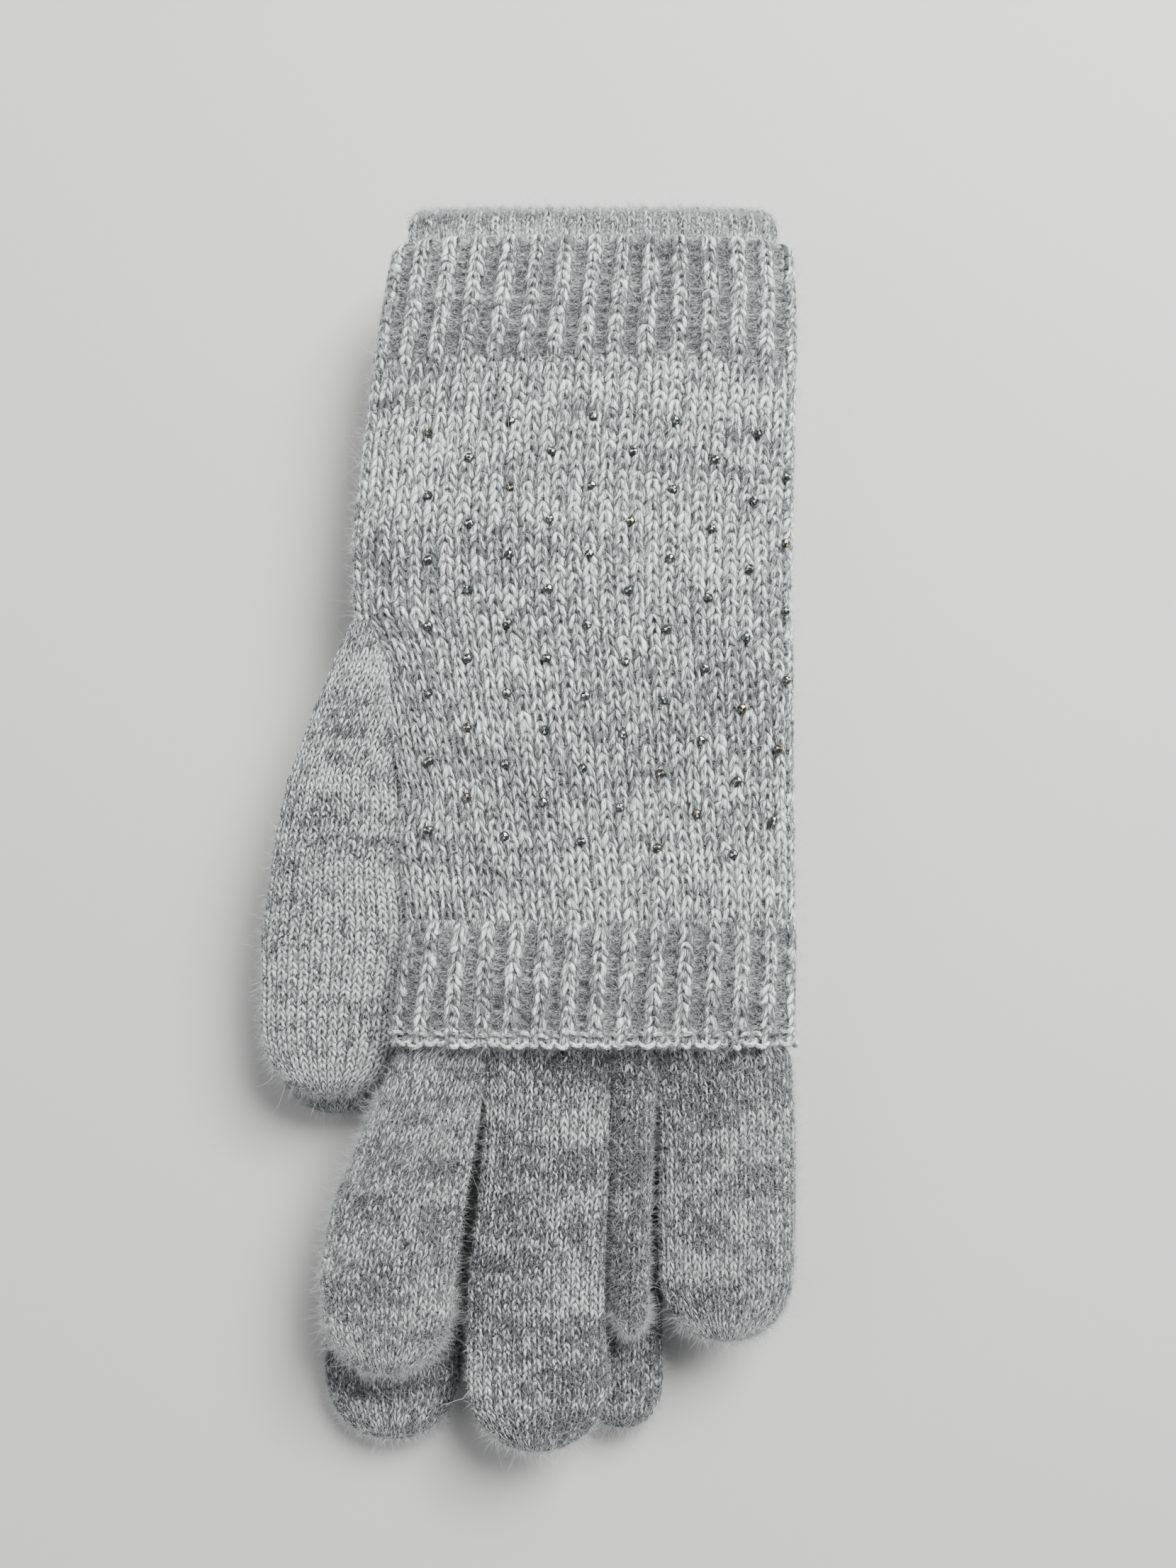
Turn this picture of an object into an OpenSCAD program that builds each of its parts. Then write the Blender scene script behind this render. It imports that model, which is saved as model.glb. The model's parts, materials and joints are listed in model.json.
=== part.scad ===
// A pair of layered convertible gloves, laid palm to palm: the left hand on top, the right hand below.
// Each hand is a full-fingered knitted glove inside a fingerless over-mitt with crystals on its back.
// +X points to the little finger, +Y to the wrist and +Z up; the origin is under the middle of the pair.

/* [Over-mitt] */
// Over-mitt length along the hand
mitt_length = 182; // [176:1:188]
// Length of the ribbed wrist
wrist_rib_length = 30; // [24:1:36]
// Length of the ribbed band over the knuckles, bind-off edge included
knuckle_rib_length = 26; // [22:1:30]
// Length of the bind-off edge at the knuckles
bind_off_length = 3.5; // [2.5:0.5:5]
// Fabric thickness of the ribs and of the bind-off edge
rib_wall = 2.8; // [2.6:0.1:3]
// Fabric thickness of the plain knit
plain_wall = 2.05; // [1.8:0.05:2.2]

/* [Inner glove] */
// Outer thickness of the flattened glove
glove_thickness = 9; // [8.6:0.1:9]
// Outer thickness of a finger
finger_thickness = 9.4; // [8.8:0.1:9.4]
// Fabric thickness of the glove
glove_wall = 1.6; // [1.4:0.1:1.8]
// How far the glove's cuff stands out of the over-mitt's wrist
cuff_overhang = 10; // [6:1:12]
// Downward slope of the upper hand's fingers, in degrees
left_droop = 6; // [2:0.5:6]
// Downward slope of the lower hand's fingers, in degrees
right_droop = 2; // [0.5:0.5:2]

/* [Crystals] */
// Crystal diameter
crystal_d = 2.4; // [2:0.1:3]
// Crystal height
crystal_h = 1; // [0.8:0.1:1.2]
// Distance between crystals in the row at the wrist
crystal_pitch = 18.6; // [17:0.1:19]
// Distance between crystals in the row at the knuckles
crystal_pitch_low = 16.4; // [15:0.1:17]
// Distance between rows
crystal_row_pitch = 8; // [7:0.1:8]
// Number of rows
crystal_rows = 13; // [5:2:13]
// Crystals in each row
crystals_per_row = 5; // [2:1:5]

/* [Hidden] */

// Heights of the stack
mitt_clearance = 0.4;                    // between the glove and the over-mitt around it
hand_gap = 0.3;                          // between the two over-mitts
mitt_hole = glove_thickness + 2 * mitt_clearance;
rib_thickness = mitt_hole + 2 * rib_wall;
plain_thickness = mitt_hole + 2 * plain_wall;
right_z = rib_thickness / 2;             // mid-height of the lower hand
left_z = 1.5 * rib_thickness + hand_gap; // mid-height of the upper hand

// Places along the hand
wrist_y = 130;                           // wrist edge of the over-mitt
plain_top = wrist_y - wrist_rib_length;
knuckle_y = wrist_y - mitt_length;       // knuckle edge of the over-mitt
plain_bottom = knuckle_y + knuckle_rib_length;
edge_y = knuckle_y + bind_off_length;
palm_end = knuckle_y + 0.4;
finger_y = knuckle_y - finger_thickness / 2 - 0.4; // axis that the fingers fold about
thumb_y = 38;                            // root of the thumb

// The thumb opening runs along the straight stretch of the over-mitt's thumb side
opening_top = [-40.5, 43];
opening_bottom = [-29.5, -10];
opening_depth = 3.6;                     // how deep the plain knit is cut back there
binding = 1.8;                           // width of the edging around the opening

// Corner radii of the flattened tubes, and the steps in each corner
mitt_corner = 3.5;
glove_corner = 2.6;
corner_steps = 3;

mitt_colour = [0.66, 0.68, 0.70];
rib_colour = [0.62, 0.64, 0.66];
glove_colour = [0.50, 0.52, 0.54];
crystal_colour = [0.16, 0.17, 0.18];

// Flattened tubes. A station is [y, left x, right x, mid-height, thickness, corner radius].

function corner(x, y, z, r, start) =
    [for (i = [0:corner_steps]) let (a = start + 90 * i / corner_steps) [x + r * cos(a), y, z + r * sin(a)]];

function ring(s, inset) =
    let (left = s[1] + inset, right = s[2] - inset, half = s[4] / 2 - inset,
         r = max(0.3, min(s[5] - inset, half - 0.01, (right - left) / 2 - 0.01)))
    concat(
        corner(right - r, s[0], s[3] + half - r, r, 0),
        corner(left + r, s[0], s[3] + half - r, r, 90),
        corner(left + r, s[0], s[3] - half + r, r, 180),
        corner(right - r, s[0], s[3] - half + r, r, 270)
    );

ring_size = 4 * (corner_steps + 1);

// The side faces of a row of rings whose points start at first; flip turns them inside out
function sides(first, rings, flip) = [
    for (k = [0:rings - 2], i = [0:ring_size - 1])
        let (a = first + k * ring_size + i,
             b = first + k * ring_size + (i + 1) % ring_size,
             c = b + ring_size,
             d = a + ring_size)
        each flip ? [[a, c, b], [a, d, c]] : [[a, b, c], [a, c, d]]
];

// The ring-shaped face between an outer ring and an inner ring
function rim(outer, inner, flip) = [
    for (i = [0:ring_size - 1])
        let (j = (i + 1) % ring_size)
        each flip
            ? [[outer + i, inner + j, outer + j], [outer + i, inner + i, inner + j]]
            : [[outer + i, outer + j, inner + j], [outer + i, inner + j, inner + i]]
];

function run(first, flip) = flip
    ? [for (i = [ring_size - 1:-1:0]) first + i]
    : [for (i = [0:ring_size - 1]) first + i];

// An open tube through stations that go from the fingers' side towards the wrist
module sleeve(stations, wall) {
    n = len(stations);
    inner = n * ring_size;
    points = concat(
        [for (s = stations) each ring(s, 0)],
        [for (s = stations) each ring(s, wall)]
    );
    faces = concat(
        sides(0, n, false),
        sides(inner, n, true),
        rim(0, inner, true),
        rim((n - 1) * ring_size, inner + (n - 1) * ring_size, false)
    );
    polyhedron(points, faces, convexity = 6);
}

// A tube with a round closed tip. The outer and the inner stations both go from the root to the tip.
module finger_tube(outer_stations, inner_stations) {
    n = len(outer_stations);
    m = len(inner_stations);
    inner = n * ring_size;
    points = concat(
        [for (s = outer_stations) each ring(s, 0)],
        [for (s = inner_stations) each ring(s, 0)]
    );
    faces = concat(
        sides(0, n, true),
        sides(inner, m, false),
        rim(0, inner, false),
        [run((n - 1) * ring_size, true)],
        [run(inner + (m - 1) * ring_size, false)]
    );
    polyhedron(points, faces, convexity = 6);
}

// Widths. Each list holds [y, left x, right x], from the fingers' side towards the wrist.

mitt_wrist = [[plain_top, -37.4, 60], [wrist_y, -33, 60]];
mitt_plain = [
    [plain_bottom, -27, 57],
    [opening_bottom[1], opening_bottom[0], 57.5],
    [opening_top[1], opening_top[0], 58],
    [60, -41, 58.5],
    [plain_top, -37.4, 60]
];
mitt_knuckle = [[edge_y, -29.2, 56.2], [plain_bottom, -27, 57]];
mitt_edge = [[knuckle_y, -29.5, 56], [edge_y, -29.2, 56.2]];
palm_widths = [
    [palm_end, -24, 52.8], [-14, -23.8, 53.8], [6, -25, 55], [55, -36.4, 55.4], [72, -37.2, 55.9],
    [plain_top, -34.2, 56.5]
];
cuff_widths = [[plain_top, -34.2, 56.5], [wrist_y, -29.8, 56.5], [wrist_y + cuff_overhang, -28, 55]];

function flat(widths, thickness, radius) = [for (w = widths) [w[0], w[1], w[2], 0, thickness, radius]];

// Digits. Each shape holds [distance from the root, left x, right x]; the tip is rounded past the last one.

left_digits = [
    ["index_finger", 65.4, [[-2.3, -28.6, -9.9], [14, -36, -10.9], [28, -42, -13.3], [44, -45, -15.6]]],
    ["middle_finger", 81.6, [[-2.3, -9, 17.2], [24, -11.2, 16.8], [48, -13.6, 16], [66, -14, 16.6]]],
    ["ring_finger", 57, [[-2.3, 17.9, 26.7], [26, 17.4, 25.8], [51, 16.7, 25.2]]],
    ["little_finger", 58.4, [[-2.3, 27.4, 55.4], [16, 26.9, 56.4], [34, 26.6, 56.4], [44, 26.8, 56]]]
];
right_digits = [
    ["index_finger", 83, [[-2.3, -28.8, -9.8], [24, -41, -12.8], [46, -45.6, -15.4], [69, -46, -15.6]]],
    ["middle_finger", 79.8, [[-2.3, -9, 13.2], [24, -11.6, 11], [46, -13.3, 9.6], [68, -13.5, 9.4]]],
    ["ring_finger", 80.4, [[-2.3, 14, 27.6], [24, 12, 28], [46, 10.6, 29], [70, 10.3, 29]]],
    ["little_finger", 56, [[-2.3, 28.4, 55.4], [16, 28.8, 56], [34, 29.4, 55.8], [43, 29.6, 55.4]]]
];
thumb_shape = [
    [0, -42.3, -20], [18, -49, -25], [33, -54, -29.8], [48, -56.8, -30.9], [68, -59.6, -31.5],
    [88, -60, -32.4]
];
thumb_level = 45;                        // the thumb is level over this distance, inside the over-mitt
left_thumb_length = 103;
right_thumb_length = 108;
thumb_left_droop = 10;
thumb_right_droop = 2.5;
tip_steps = [20, 40, 58, 74, 84];        // angles of the rings that round off a tip
root_lip = 7.8;                          // outer thickness of a finger at its root, so that it can fold

function drop(distance, droop, level) = -max(0, distance - level) * tan(droop);

// The stations of a digit: the straight stretch, then the tip. The wall is 0 for its outside.
function digit_stations(root_y, length, shape, thickness, wall, droop, level, lip) =
    let (last = shape[len(shape) - 1],
         centre = (last[1] + last[2]) / 2,
         half = (last[2] - last[1]) / 2 - wall,
         tip = length - wall - last[0])
    concat(
        [for (k = [0:len(shape) - 1])
            let (s = shape[k], t = k == 0 && wall == 0 ? lip : thickness - 2 * wall)
            [root_y - s[0], s[1] + wall, s[2] - wall, drop(s[0], droop, level), t, glove_corner - wall]],
        [for (a = tip_steps)
            let (d = last[0] + tip * sin(a), w = half * cos(a),
                 t = (thickness - 2 * wall) * (0.55 + 0.45 * cos(a)))
            [root_y - d, centre - w, centre + w, drop(d, droop, level), t, glove_corner - wall]]
    );

module digit(root_y, length, shape, thickness, droop, level, lip) {
    finger_tube(
        digit_stations(root_y, length, shape, thickness, 0, droop, level, lip),
        digit_stations(root_y, length, shape, thickness, glove_wall, droop, level, lip)
    );
}

// Parts of one hand, at mid-height 0 with the back of the hand up

module cuff() {
    color(glove_colour) sleeve(flat(cuff_widths, glove_thickness, glove_corner), glove_wall);
}

// The hand of the glove, open on one side where the thumb joins it
module palm() {
    color(glove_colour)
    difference() {
        sleeve(flat(palm_widths, glove_thickness, glove_corner), glove_wall);
        translate([0, 0, -glove_thickness])
        linear_extrude(2 * glove_thickness)
        polygon([[-60, 39.5], [-17.5, 39.5], [-19.5, 28], [-23.5, 17], [-26, 6], [-60, -6]]);
    }
}

module mitt_wrist_rib() {
    color(rib_colour) sleeve(flat(mitt_wrist, rib_thickness, mitt_corner), rib_wall);
}

module mitt_knuckle_rib() {
    color(rib_colour) sleeve(flat(mitt_knuckle, rib_thickness, mitt_corner), rib_wall);
}

module mitt_bind_off_edge() {
    color(rib_colour) sleeve(flat(mitt_edge, rib_thickness, mitt_corner), rib_wall);
}

// A strip along the thumb opening, between two depths from the over-mitt's side, short by trim at each end
module opening_strip(shallow, deep, trim) {
    slope = (opening_top[0] - opening_bottom[0]) / (opening_top[1] - opening_bottom[1]);
    polygon([
        [opening_top[0] + shallow - slope * trim, opening_top[1] - trim],
        [opening_top[0] + deep - slope * trim, opening_top[1] - trim],
        [opening_bottom[0] + deep + slope * trim, opening_bottom[1] + trim],
        [opening_bottom[0] + shallow + slope * trim, opening_bottom[1] + trim]
    ]);
}

module mitt_body() {
    color(mitt_colour)
    difference() {
        sleeve(flat(mitt_plain, plain_thickness, mitt_corner), plain_wall);
        translate([0, 0, -plain_thickness])
        linear_extrude(2 * plain_thickness) opening_strip(-20, opening_depth, 0);
    }
}

// The edging knitted around the thumb opening
module mitt_thumb_edge() {
    color(rib_colour)
    difference() {
        translate([0, 0, -plain_thickness / 2])
        linear_extrude(plain_thickness) opening_strip(opening_depth - binding, opening_depth, 0);
        translate([0, 0, -mitt_hole / 2])
        linear_extrude(mitt_hole) opening_strip(-20, opening_depth + 20, binding);
    }
}

// A faceted flat-back stone, pressed a little into the knit
module crystal() {
    girdle = 0.35 * crystal_h;
    cylinder(d = crystal_d, h = girdle, $fn = 24);
    translate([0, 0, girdle])
    cylinder(d1 = crystal_d, d2 = crystal_d / 2, h = crystal_h - girdle, $fn = 24);
}

// Rows of stones on the back of the hand, each row half a pitch aside of the last.
// The rows arch at the wrist and slope a little at the knuckles, as the knit is pulled.
// A stone that would pass the flat of the back sits on the rolled side, turned outwards.
module crystals() {
    sink = 0.3;
    first_x = 13.4;                      // middle of the first row
    last_x = 10.6;                       // middle of the last row
    first_y = 86.8;
    arch = 3.6;
    arch_half_width = 38;
    slope = 0.078;
    shoulder_turn = 40;
    color(crystal_colour)
    for (row = [0:crystal_rows - 1], k = [0:crystals_per_row - 1]) {
        t = row / (crystal_rows - 1);
        pitch = crystal_pitch + (crystal_pitch_low - crystal_pitch) * t;
        middle = first_x + (last_x - first_x) * t;
        across = pitch * (k - (crystals_per_row - 1) / 2 + (row % 2) / 2);
        x = middle + across;
        y = first_y - crystal_row_pitch * row
            - (1 - t) * arch * pow(across / arch_half_width, 2) - t * slope * across;
        roll_x = lookup(y, [for (w = mitt_plain) [w[0], w[2]]]) - mitt_corner;
        if (x > roll_x)
            translate([roll_x, y, plain_thickness / 2 - mitt_corner])
            rotate([0, shoulder_turn, 0])
            translate([0, 0, mitt_corner - sink]) crystal();
        else
            translate([x, y, plain_thickness / 2 - sink]) crystal();
    }
}

// Puts a part of a hand in the stack: the left hand as it is, the right hand turned over
module in_hand(hand) {
    if (hand == "left")
        translate([0, 0, left_z]) children();
    else
        translate([0, 0, right_z]) mirror([0, 0, 1]) children();
}

// A digit lies in the same place in the stack, whichever way its hand is turned
module digits(hand, name) {
    left = hand == "left";
    color(glove_colour)
    translate([0, 0, left ? left_z : right_z])
    if (name == "thumb")
        digit(thumb_y, left ? left_thumb_length : right_thumb_length, thumb_shape, glove_thickness,
              left ? thumb_left_droop : thumb_right_droop, thumb_level, glove_thickness);
    else
        for (d = left ? left_digits : right_digits)
            if (d[0] == name)
                digit(finger_y, d[1], d[2], finger_thickness, left ? left_droop : right_droop, 0, root_lip);
}

for (hand = ["left", "right"]) {
    in_hand(hand) cuff();
    in_hand(hand) palm();
    for (name = ["thumb", "index_finger", "middle_finger", "ring_finger", "little_finger"])
        digits(hand, name);
    in_hand(hand) mitt_wrist_rib();
    in_hand(hand) mitt_body();
    in_hand(hand) mitt_knuckle_rib();
    in_hand(hand) mitt_bind_off_edge();
    in_hand(hand) mitt_thumb_edge();
    in_hand(hand) crystals();
}
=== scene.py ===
"""A pair of layered convertible gloves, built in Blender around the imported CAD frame.

Where the knit shows, its stitches are geometry: slanted yarn legs raised on flattened tubes, which the
material draws again with sharper edges. Lengths inside the knit functions are in millimetres; everything
that reaches Blender is in metres.
"""
import json
import math

import bpy
import numpy as np
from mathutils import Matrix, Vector


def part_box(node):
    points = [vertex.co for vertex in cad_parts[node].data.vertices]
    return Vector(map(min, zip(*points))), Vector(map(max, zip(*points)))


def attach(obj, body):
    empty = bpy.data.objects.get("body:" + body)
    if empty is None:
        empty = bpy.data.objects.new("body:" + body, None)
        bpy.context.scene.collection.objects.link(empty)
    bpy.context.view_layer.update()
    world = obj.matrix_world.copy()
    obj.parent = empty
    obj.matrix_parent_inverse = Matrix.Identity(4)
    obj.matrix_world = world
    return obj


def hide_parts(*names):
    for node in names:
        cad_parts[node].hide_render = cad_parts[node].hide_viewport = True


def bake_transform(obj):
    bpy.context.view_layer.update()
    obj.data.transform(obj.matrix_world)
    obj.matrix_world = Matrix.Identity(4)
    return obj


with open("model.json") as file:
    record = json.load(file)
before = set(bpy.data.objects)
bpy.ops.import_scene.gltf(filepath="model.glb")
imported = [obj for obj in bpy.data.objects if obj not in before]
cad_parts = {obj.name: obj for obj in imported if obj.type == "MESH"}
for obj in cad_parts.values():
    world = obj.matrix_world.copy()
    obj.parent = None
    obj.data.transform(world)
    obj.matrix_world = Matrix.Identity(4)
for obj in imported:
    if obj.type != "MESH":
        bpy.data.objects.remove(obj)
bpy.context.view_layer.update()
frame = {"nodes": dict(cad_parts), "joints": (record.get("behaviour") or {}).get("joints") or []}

MM = 0.001
HANDS = ("left", "right")
FINGERS = ("index", "middle", "ring", "little")

# Knit gauges: width of a wale and height of a row
MITT_WALE, MITT_ROW = 3.35, 2.36
WRIST_RIB_ROW, KNUCKLE_RIB_ROW = 2.1, 2.15
GLOVE_WALE, GLOVE_ROW = 2.18, 1.56
MITT_WALES = 58  # around the over-mitt; the ribs have half as many knit columns
BODY_INSET, BODY_RELIEF = 0.75, 0.85  # of the over-mitt's plain knit
MITT_POWER = 4.0  # how square the over-mitt's cross-section is, across its width
HEIGHT_POWER = 2.15  # and how round every sleeve and digit is in its height
RIB_SAMPLES = (16, 8, 6)  # points per rib on the back and on the palm side, and per row
RIB_JOIN = 3.4  # length over which a rib turns into the plain knit next to it
TUCK = 0.7  # how far a piece runs on under its neighbour
VALLEY_PAINTED_SHADE = 0.26  # painted shade: how much darker the yarn's colour is made in the recessed valleys between ribs
CUFF_RIBS = 44
PALM_WALES = 92
PALM_POWER = 6.0
PALM_SHOWN = 15.4  # length of palm with real stitches; the over-mitt hides the rest
GLOVE_WALL = 1.2
MITT_WALL = 1.35
ROPE_STEP = 0.36  # distance between the rings of points along a rope of yarn
DOME_RINGS = 60  # rings of points on the dome of a fingertip
THUMB_RUN = 15  # length of thumb that runs on inside the glove
# Painted shade on each digit: how much darker its yarn's colour is made. It stands for the shade that the
# fingers lie in, deepest on the lower hand's fingers and the tucked ring finger, not for another yarn, and
# stays when they move. Below 0 is lighter, a painted light.
DIGIT_PAINTED_SHADE = {("left", "ring"): 0.55, ("right", "index"): 0.38, ("right", "middle"): 0.45,
               ("right", "ring"): 0.65, ("right", "little"): 0.45, ("left", "middle"): 0.14,
               ("left", "little"): 0.14, ("left", "thumb"): -0.25}
SIDE_EASE = 0.6  # the sleeves are this much wider at each side, where they bulge
STONE_SEAT = 0.35  # how far the stones' feet stand above the over-mitt's middle surface
HAIR_LEVELS = (0.1, 37.0)  # how low and how high a hair may reach


# ---------------------------------------------------------------- noise

def hashed(i, j, seed):
    """A number from 0 to 1 for each pair of whole numbers."""
    i = np.asarray(i).astype(np.int64)
    j = np.asarray(j).astype(np.int64)
    h = (i * 374761393 + j * 668265263 + seed * 362437) & 0xFFFFFFFF
    h = ((h ^ (h >> 13)) * 1274126177) & 0xFFFFFFFF
    h = ((h ^ (h >> 16)) * 2246822519) & 0xFFFFFFFF
    return ((h ^ (h >> 15)) & 0xFFFFFF) / float(0xFFFFFF)


def smooth_noise(x, y, seed):
    """Value noise from -1 to 1 with features about one unit wide."""
    i, j = np.floor(x), np.floor(y)
    u, v = x - i, y - j
    u, v = u * u * (3 - 2 * u), v * v * (3 - 2 * v)
    low = hashed(i, j, seed) * (1 - u) + hashed(i + 1, j, seed) * u
    high = hashed(i, j + 1, seed) * (1 - u) + hashed(i + 1, j + 1, seed) * u
    return (low * (1 - v) + high * v) * 2 - 1


def smoothstep(low, high, x):
    t = np.clip((x - low) / (high - low), 0, 1)
    return t * t * (3 - 2 * t)


def unit(vectors, least=0.0):
    """Rows of vectors brought to length 1; least keeps a zero row from a division by zero."""
    return vectors / (np.linalg.norm(vectors, axis=1, keepdims=True) + least)


def stitch_grid(wale, v):
    """Wale and row positions at every point of a sleeve, one row of points for each number in v."""
    u = np.broadcast_to(wale, (len(v), len(wale))).copy()
    return u, np.broadcast_to(v[:, None], u.shape).copy()


def measured_ring(ring):
    """The length of a closed ring of points, and a function that gives the points at places along it."""
    along = np.concatenate([[0], np.cumsum(np.linalg.norm(np.roll(ring, -1, 0) - ring, axis=1))])
    looped = np.concatenate([ring, ring[:1]])
    return along[-1], lambda place: np.stack([np.interp(place, along, looped[:, k]) for k in range(3)], 1)


# ---------------------------------------------------------------- stitches

# A yarn leg in units of wales and rows, measured from its wale's middle and its own row: it starts beside
# the middle at LEG_TOP, leans out by LEG_LEAN and tapers to nothing at both ends. The material draws the
# same leg with sharper edges.
LEG_TOP, LEG_LENGTH = 1.25, 1.42
LEG_START, LEG_LEAN = 0.060, 0.345
LEG_RADIUS = 0.205
LEG_TIP = 0.06


def knit_column(x, row_pos, wale, seed, radius=0.225):
    """Height from 0 to 1 of the knit stitches along a wale. x runs from -0.5 to 0.5 across it; each
    stitch's two legs meet towards the wrist."""
    height = np.zeros_like(x)
    row0 = np.floor(row_pos)
    side = x > 0
    for step in (-1, 0, 1):
        row = row0 + step
        t = (LEG_TOP - (row_pos - row)) / LEG_LENGTH
        taper = np.maximum(np.sin(np.pi * (LEG_TIP + (1 - 2 * LEG_TIP) * t)), 1e-3)
        away = (np.abs(x) - LEG_START - LEG_LEAN * t) / (radius * np.sqrt(taper))
        swell = 0.88 + 0.24 * hashed(wale * 2 + side, row, seed)
        leg = np.sqrt(np.clip(1 - away ** 2, 0, 1)) * np.minimum(4 * taper, 1) * (0.3 + 0.7 * taper) * swell
        height = np.maximum(height, leg)
    return height


def plain_knit(u, v, seed):
    """Stockinette at wale position u and row position v: height, and what the material draws there."""
    wale = np.floor(u)
    height = knit_column(u - wale - 0.5, v, wale, seed)
    return height, height, np.stack([u, v, np.ones_like(u)], -1)


def rib_knit(u, v, seed, plain):
    """1x1 rib, u counting its periods: raised knit columns, and valleys of small curved purl bumps. As
    plain goes from 0 to 1 the valleys turn into knit columns too. Also gives the legs' own height."""
    col = np.floor(u)
    across = u - col - 0.5
    sign = np.where(across > 0, 1, -1)
    edge = 0.31 - 0.06 * plain
    in_column = np.abs(across) < edge
    from_valley = across - 0.5 * sign
    wale = np.where(in_column, 2 * col, 2 * col + sign)
    inside = np.where(in_column, 0.5 * across / edge, 0.5 * from_valley / (0.5 - edge))
    legs = knit_column(inside, v, wale, seed)
    ridge = smoothstep(edge + 0.06, edge - 0.05, np.abs(across))
    drawn = np.maximum(smoothstep(edge + 0.02, edge - 0.02, np.abs(across)), plain)
    dome = np.sqrt(np.clip(1 - (across / (edge * 1.16)) ** 2, 0, 1))
    row = np.floor(v)
    valley = 2 * col + sign
    bow = 0.30 * (from_valley / (0.5 - edge)) ** 2
    in_row = v - row - 0.35 - bow + 0.34 * (hashed(valley, row, seed + 8) - 0.5)
    bump = np.exp(-(in_row / 0.24) ** 2) * (0.35 + 0.65 * hashed(valley, row, seed + 9))
    height = ridge * (0.50 + 0.24 * dome + 0.30 * legs) + (1 - ridge) * 0.26 * bump
    depth = ridge * legs + (1 - ridge) * (0.16 + 0.6 * bump)
    return height, depth, np.stack([wale + 0.5 + inside, v, drawn], -1), legs


def melange(u, v, seed, streak=5.0, strength=1.0):
    """Brightness of the marled yarn: light and dark runs of stitches follow the rows."""
    run = smooth_noise(u / streak, v / 1.5, seed + 20)
    patch = smooth_noise(u / (2.2 * streak), v / 5.0, seed + 21)
    fleck = smooth_noise(u / 1.6, v / 0.8, seed + 22)
    return np.clip(0.5 + strength * (0.15 * run + 0.13 * patch) + 0.08 * fleck, 0, 1)


# ---------------------------------------------------------------- the CAD's outlines

def cad_edges(node):
    """The ends of the CAD node's edges, in millimetres."""
    mesh = frame["nodes"][node].data
    points = np.empty(len(mesh.vertices) * 3)
    mesh.vertices.foreach_get("co", points)
    points = points.reshape(-1, 3) / MM
    edges = np.empty(len(mesh.edges) * 2, np.int64)
    mesh.edges.foreach_get("vertices", edges)
    edges = edges.reshape(-1, 2)
    return points[edges[:, 0]], points[edges[:, 1]]


def cad_sections(node, ys):
    """The CAD node's lowest and highest x and z at each y: rows of x0, x1, z0, z1."""
    a, b = cad_edges(node)
    rows = []
    for y in ys:
        crossing = (a[:, 1] - y) * (b[:, 1] - y) <= 0
        p, q = a[crossing], b[crossing]
        rise = q[:, 1] - p[:, 1]
        flat = np.abs(rise) < 1e-9
        t = np.where(flat, 0, (y - p[:, 1]) / np.where(flat, 1, rise))
        hits = p + (q - p) * t[:, None]
        rows.append([hits[:, 0].min(), hits[:, 0].max(), hits[:, 2].min(), hits[:, 2].max()])
    return np.array(rows)


def cad_span(node):
    low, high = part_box(node)
    return low.y / MM, high.y / MM


# ---------------------------------------------------------------- meshes

def add_mesh(name, points, faces, attributes=None, smooth=True, wrap=0, flat_last=0):
    """A mesh object from points in millimetres and faces as lists of quads and triangles. The faces
    close round a volume, and are turned over together if they face into it. A vector attribute is kept
    per face corner, where its first number may jump by wrap. The last flat_last lists of faces are flat."""
    volume = 0
    for f in faces:
        for k in range(2, f.shape[1]):
            a, b, c = points[f[:, 0]], points[f[:, k - 1]], points[f[:, k]]
            volume += (a * np.cross(b, c)).sum()
    if volume < 0:
        faces = [f[:, ::-1] for f in faces]
    mesh = bpy.data.meshes.new(name)
    loops = np.concatenate([f.reshape(-1) for f in faces])
    sizes = np.concatenate([np.full(len(f), f.shape[1]) for f in faces])
    mesh.vertices.add(len(points))
    mesh.vertices.foreach_set("co", (points * MM).reshape(-1).astype(np.float32))
    mesh.loops.add(len(loops))
    mesh.loops.foreach_set("vertex_index", loops.astype(np.int32))
    mesh.polygons.add(len(sizes))
    starts = np.concatenate([[0], np.cumsum(sizes)[:-1]])
    mesh.polygons.foreach_set("loop_start", starts.astype(np.int32))
    mesh.polygons.foreach_set("loop_total", sizes.astype(np.int32))
    shading = np.concatenate([np.full(len(f), smooth and k < len(faces) - flat_last)
                              for k, f in enumerate(faces)])
    mesh.polygons.foreach_set("use_smooth", shading)
    mesh.update(calc_edges=True)
    for key, values in (attributes or {}).items():
        if values.ndim == 1:
            mesh.attributes.new(key, "FLOAT", "POINT").data.foreach_set("value", values.astype(np.float32))
            continue
        corners = []
        for f in faces:
            corner = values[f]
            first = corner[..., 0]
            corner[..., 0] += np.where(first.max(1, keepdims=True) - first > wrap / 2, wrap, 0) if wrap else 0
            corners.append(corner.reshape(-1, 3))
        corners = np.concatenate(corners).astype(np.float32)
        mesh.attributes.new(key, "FLOAT_VECTOR", "CORNER").data.foreach_set("vector", corners.reshape(-1))
    mesh.validate()
    obj = bpy.data.objects.new(name, mesh)
    bpy.context.scene.collection.objects.link(obj)
    return obj


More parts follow.
